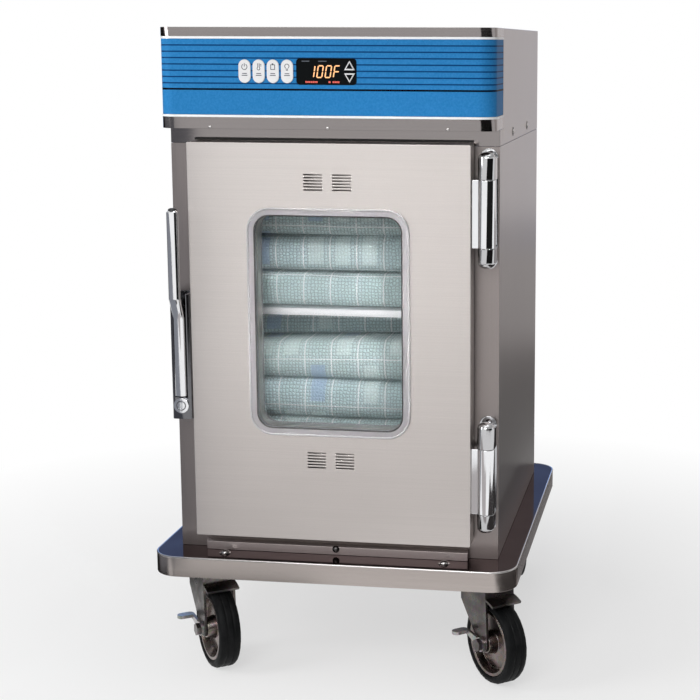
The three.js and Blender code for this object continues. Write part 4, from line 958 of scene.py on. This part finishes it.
def stage_card(name, start, end, reach, color, lying=False):
    """A studio flag that only reflections see, from a start to an end in X and Y.

    It stands upright between two heights, or lies at a height and goes back to a far Y.
    """
    (x0, y0), (x1, y1) = start, end
    if lying:
        height, far = reach
        corners = [(x0, y0, height), (x1, y1, height), (x1, far, height), (x0, far, height)]
    else:
        low, high = reach
        corners = [(x0, y0, low), (x1, y1, low), (x1, y1, high), (x0, y0, high)]
    card = stage_face(name, corners)
    s = Shader(name + "_glow", (0, 0, 0), 0.9, Specular_IOR_Level=0.0, Emission_Strength=1.0)
    glow = s.ramp(s.noise(2.0, 2.0), [(0.2, shaded(color, 0.95)), (0.8, color)])
    s.feed(s.surface, "Emission Color", glow)
    card.data.materials.append(s.material)
    card.visible_camera = False
    card.visible_shadow = False
    card.visible_diffuse = False
    card.visible_transmission = False


def make_floor():
    """A pale floor that takes the shadow, and turns to the white of the background further out."""
    size = 14.0
    floor = stage_face("floor", [(-size, -size, 0), (size, -size, 0), (size, size, 0), (-size, size, 0)])
    s = Shader("floor_pale", (0.82, 0.82, 0.82), 0.85)
    s.color(s.ramp(s.noise(2.0, 2.0), [(0.3, (0.80, 0.80, 0.80)), (0.7, (0.84, 0.84, 0.835))]))
    away = s.node("ShaderNodeVectorMath", {0: s.place()}, operation="LENGTH").outputs["Value"]
    share = s.math("MULTIPLY", s.seen(), s.span(away, 0.60, 1.0, 0.45, 1.3))
    glow = s.node("ShaderNodeEmission", {"Color": (1, 1, 1, 1), "Strength": 1.0})
    blend = s.node("ShaderNodeMixShader", {0: share, 1: s.surface.outputs[0], 2: glow.outputs[0]})
    s.feed(s.tree.nodes["Material Output"], "Surface", blend.outputs[0])
    floor.data.materials.append(s.material)


def make_world():
    """White below and round the horizon, greyer above it, and a brighter ceiling.

    Diffuse light sees it dimmer, and most from the left.
    """
    world = bpy.data.worlds.new("studio")
    bpy.context.scene.world = world
    world.use_nodes = True
    n = Nodes(world.node_tree)
    place = n.node("ShaderNodeTexCoord").outputs["Generated"]
    greys = [(0.0, 1.0), (0.28, 1.0), (0.44, 0.52), (0.66, 0.46), (0.84, 0.7), (1.0, 0.8)]
    tone = n.ramp(n.axis("Z", place), [(position, (grey, grey, grey)) for position, grey in greys])
    diffuse = n.span(n.axis("X", place), 0.62, 0.14, -1.0, 1.0)
    background = n.tree.nodes["Background"]
    n.feed(background, "Color", tone)
    n.feed(background, "Strength", n.span(n.seen(), diffuse, 1.0, 0.0, 1.0))


def add_light(name, location, target, size, power, spread=180.0):
    """A lamp of a size in metres and a power in watts, aimed at a target."""
    light = bpy.data.lights.new(name, "AREA")
    light.shape = "RECTANGLE"
    light.size, light.size_y = size
    light.energy = power
    light.spread = math.radians(spread)
    lamp = bpy.data.objects.new(name, light)
    bpy.context.collection.objects.link(lamp)
    lamp.location = location
    lamp.visible_camera = False
    lamp.rotation_euler = (Vector(target) - Vector(location)).to_track_quat("-Z", "Y").to_euler()


def make_camera():
    """The photograph's view, fitted to the outline of the cabinet in a square picture."""
    place = (0.5373, -2.449, 0.956)
    yaw, pitch, roll = 0.13765, 0.16153, 0.00364
    focal_pixels, picture_pixels, sensor = 1549.66, 700, 36.0
    data = bpy.data.cameras.new("camera")
    camera = bpy.data.objects.new("camera", data)
    bpy.context.collection.objects.link(camera)
    look = Vector((-math.sin(yaw) * math.cos(pitch), math.cos(yaw) * math.cos(pitch), -math.sin(pitch)))
    right = Vector((math.cos(yaw), math.sin(yaw), 0))
    up = right.cross(look)
    right, up = right * math.cos(roll) + up * math.sin(roll), up * math.cos(roll) - right * math.sin(roll)
    turn = Matrix((right, up, -look)).transposed().to_4x4()
    camera.matrix_world = Matrix.Translation(place) @ turn
    data.sensor_width = sensor
    data.lens = focal_pixels / picture_pixels * sensor
    data.shift_x, data.shift_y = -0.20, -0.075
    bpy.context.scene.camera = camera


make_floor()
make_world()
make_camera()
stage_card("flag_rear", (0.42, 2.4), (3.2, 1.4), (0.42, 2.2), (0.70, 0.66, 0.65))
stage_card("flag_rear_low", (0.42, 2.4), (3.2, 1.4), (0.0, 0.42), (0.33, 0.31, 0.31))
stage_card("flag_left_rear", (-1.5, 1.7), (-2.4, 0.2), LOW_FLAG, DARK)
stage_card("flag_left", (-2.4, 0.2), (-2.3, -0.7), LOW_FLAG, DARK)
stage_card("flag_blue", (-2.2, 2.5), (0.40, 2.5), (0.3, 1.7), (0.36, 0.56, 1.05))
stage_card("flag_floor_right", (0.36, 0.20), (1.3, 0.20), (FLOAT, 2.6), (0.03, 0.027, 0.027), lying=True)
stage_card("flag_floor_front", (-1.2, -1.5), (0.4, -1.5), (FLOAT, -1.0), (0.47, 0.44, 0.44), lying=True)
stage_card("flag_floor_latch", (-0.50, -0.70), (-0.12, -0.70), (FLOAT, -0.38), DARK, lying=True)
stage_card("flag_floor_left", (-1.3, -0.55), (-0.5, -0.55), (FLOAT, 0.5), DARK, lying=True)
stage_card("flag_floor_corner", (0.50, -0.9), (1.3, -0.9), (FLOAT, 0.19), (0.05, 0.045, 0.045), lying=True)
stage_card("flag_front", (0.52, -2.5), (1.4, -2.3), LOW_FLAG, DARK)
stage_card("flag_right", (1.4, -2.3), (2.4, -0.75), LOW_FLAG, DARK)
stage_card("flag_right_side", (2.4, -0.75), (2.4, -0.30), LOW_FLAG, DARK)
stage_card("flag_latch", (-0.305, -0.52), (-0.46, -0.52), LATCH_FLAG, LATCH_GREY)
stage_card("flag_latch_side", (-0.46, -0.52), (-0.46, -0.22), LATCH_FLAG, LATCH_GREY)
add_light("key", (-1.75, -1.15, 1.3), (0.1, -0.2, 0.6), (0.7, 1.3), 18)
add_light("front", (-0.2, -3.4, 2.6), (0, 0, 0.5), (2.0, 1.4), 58)
add_light("fill", (2.2, -2.6, 1.6), (0, 0, 0.6), (1.4, 1.8), 0.5)
add_light("window", (1.3, -2.3, 2.0), (0, -0.22, 0.55), (0.2, 0.2), 0.36, spread=10.0)
add_light("top", (0.2, -0.3, 3.0), (0, 0, 0.5), (2.0, 2.0), 14)

bpy.context.scene.view_settings.view_transform = "Standard"
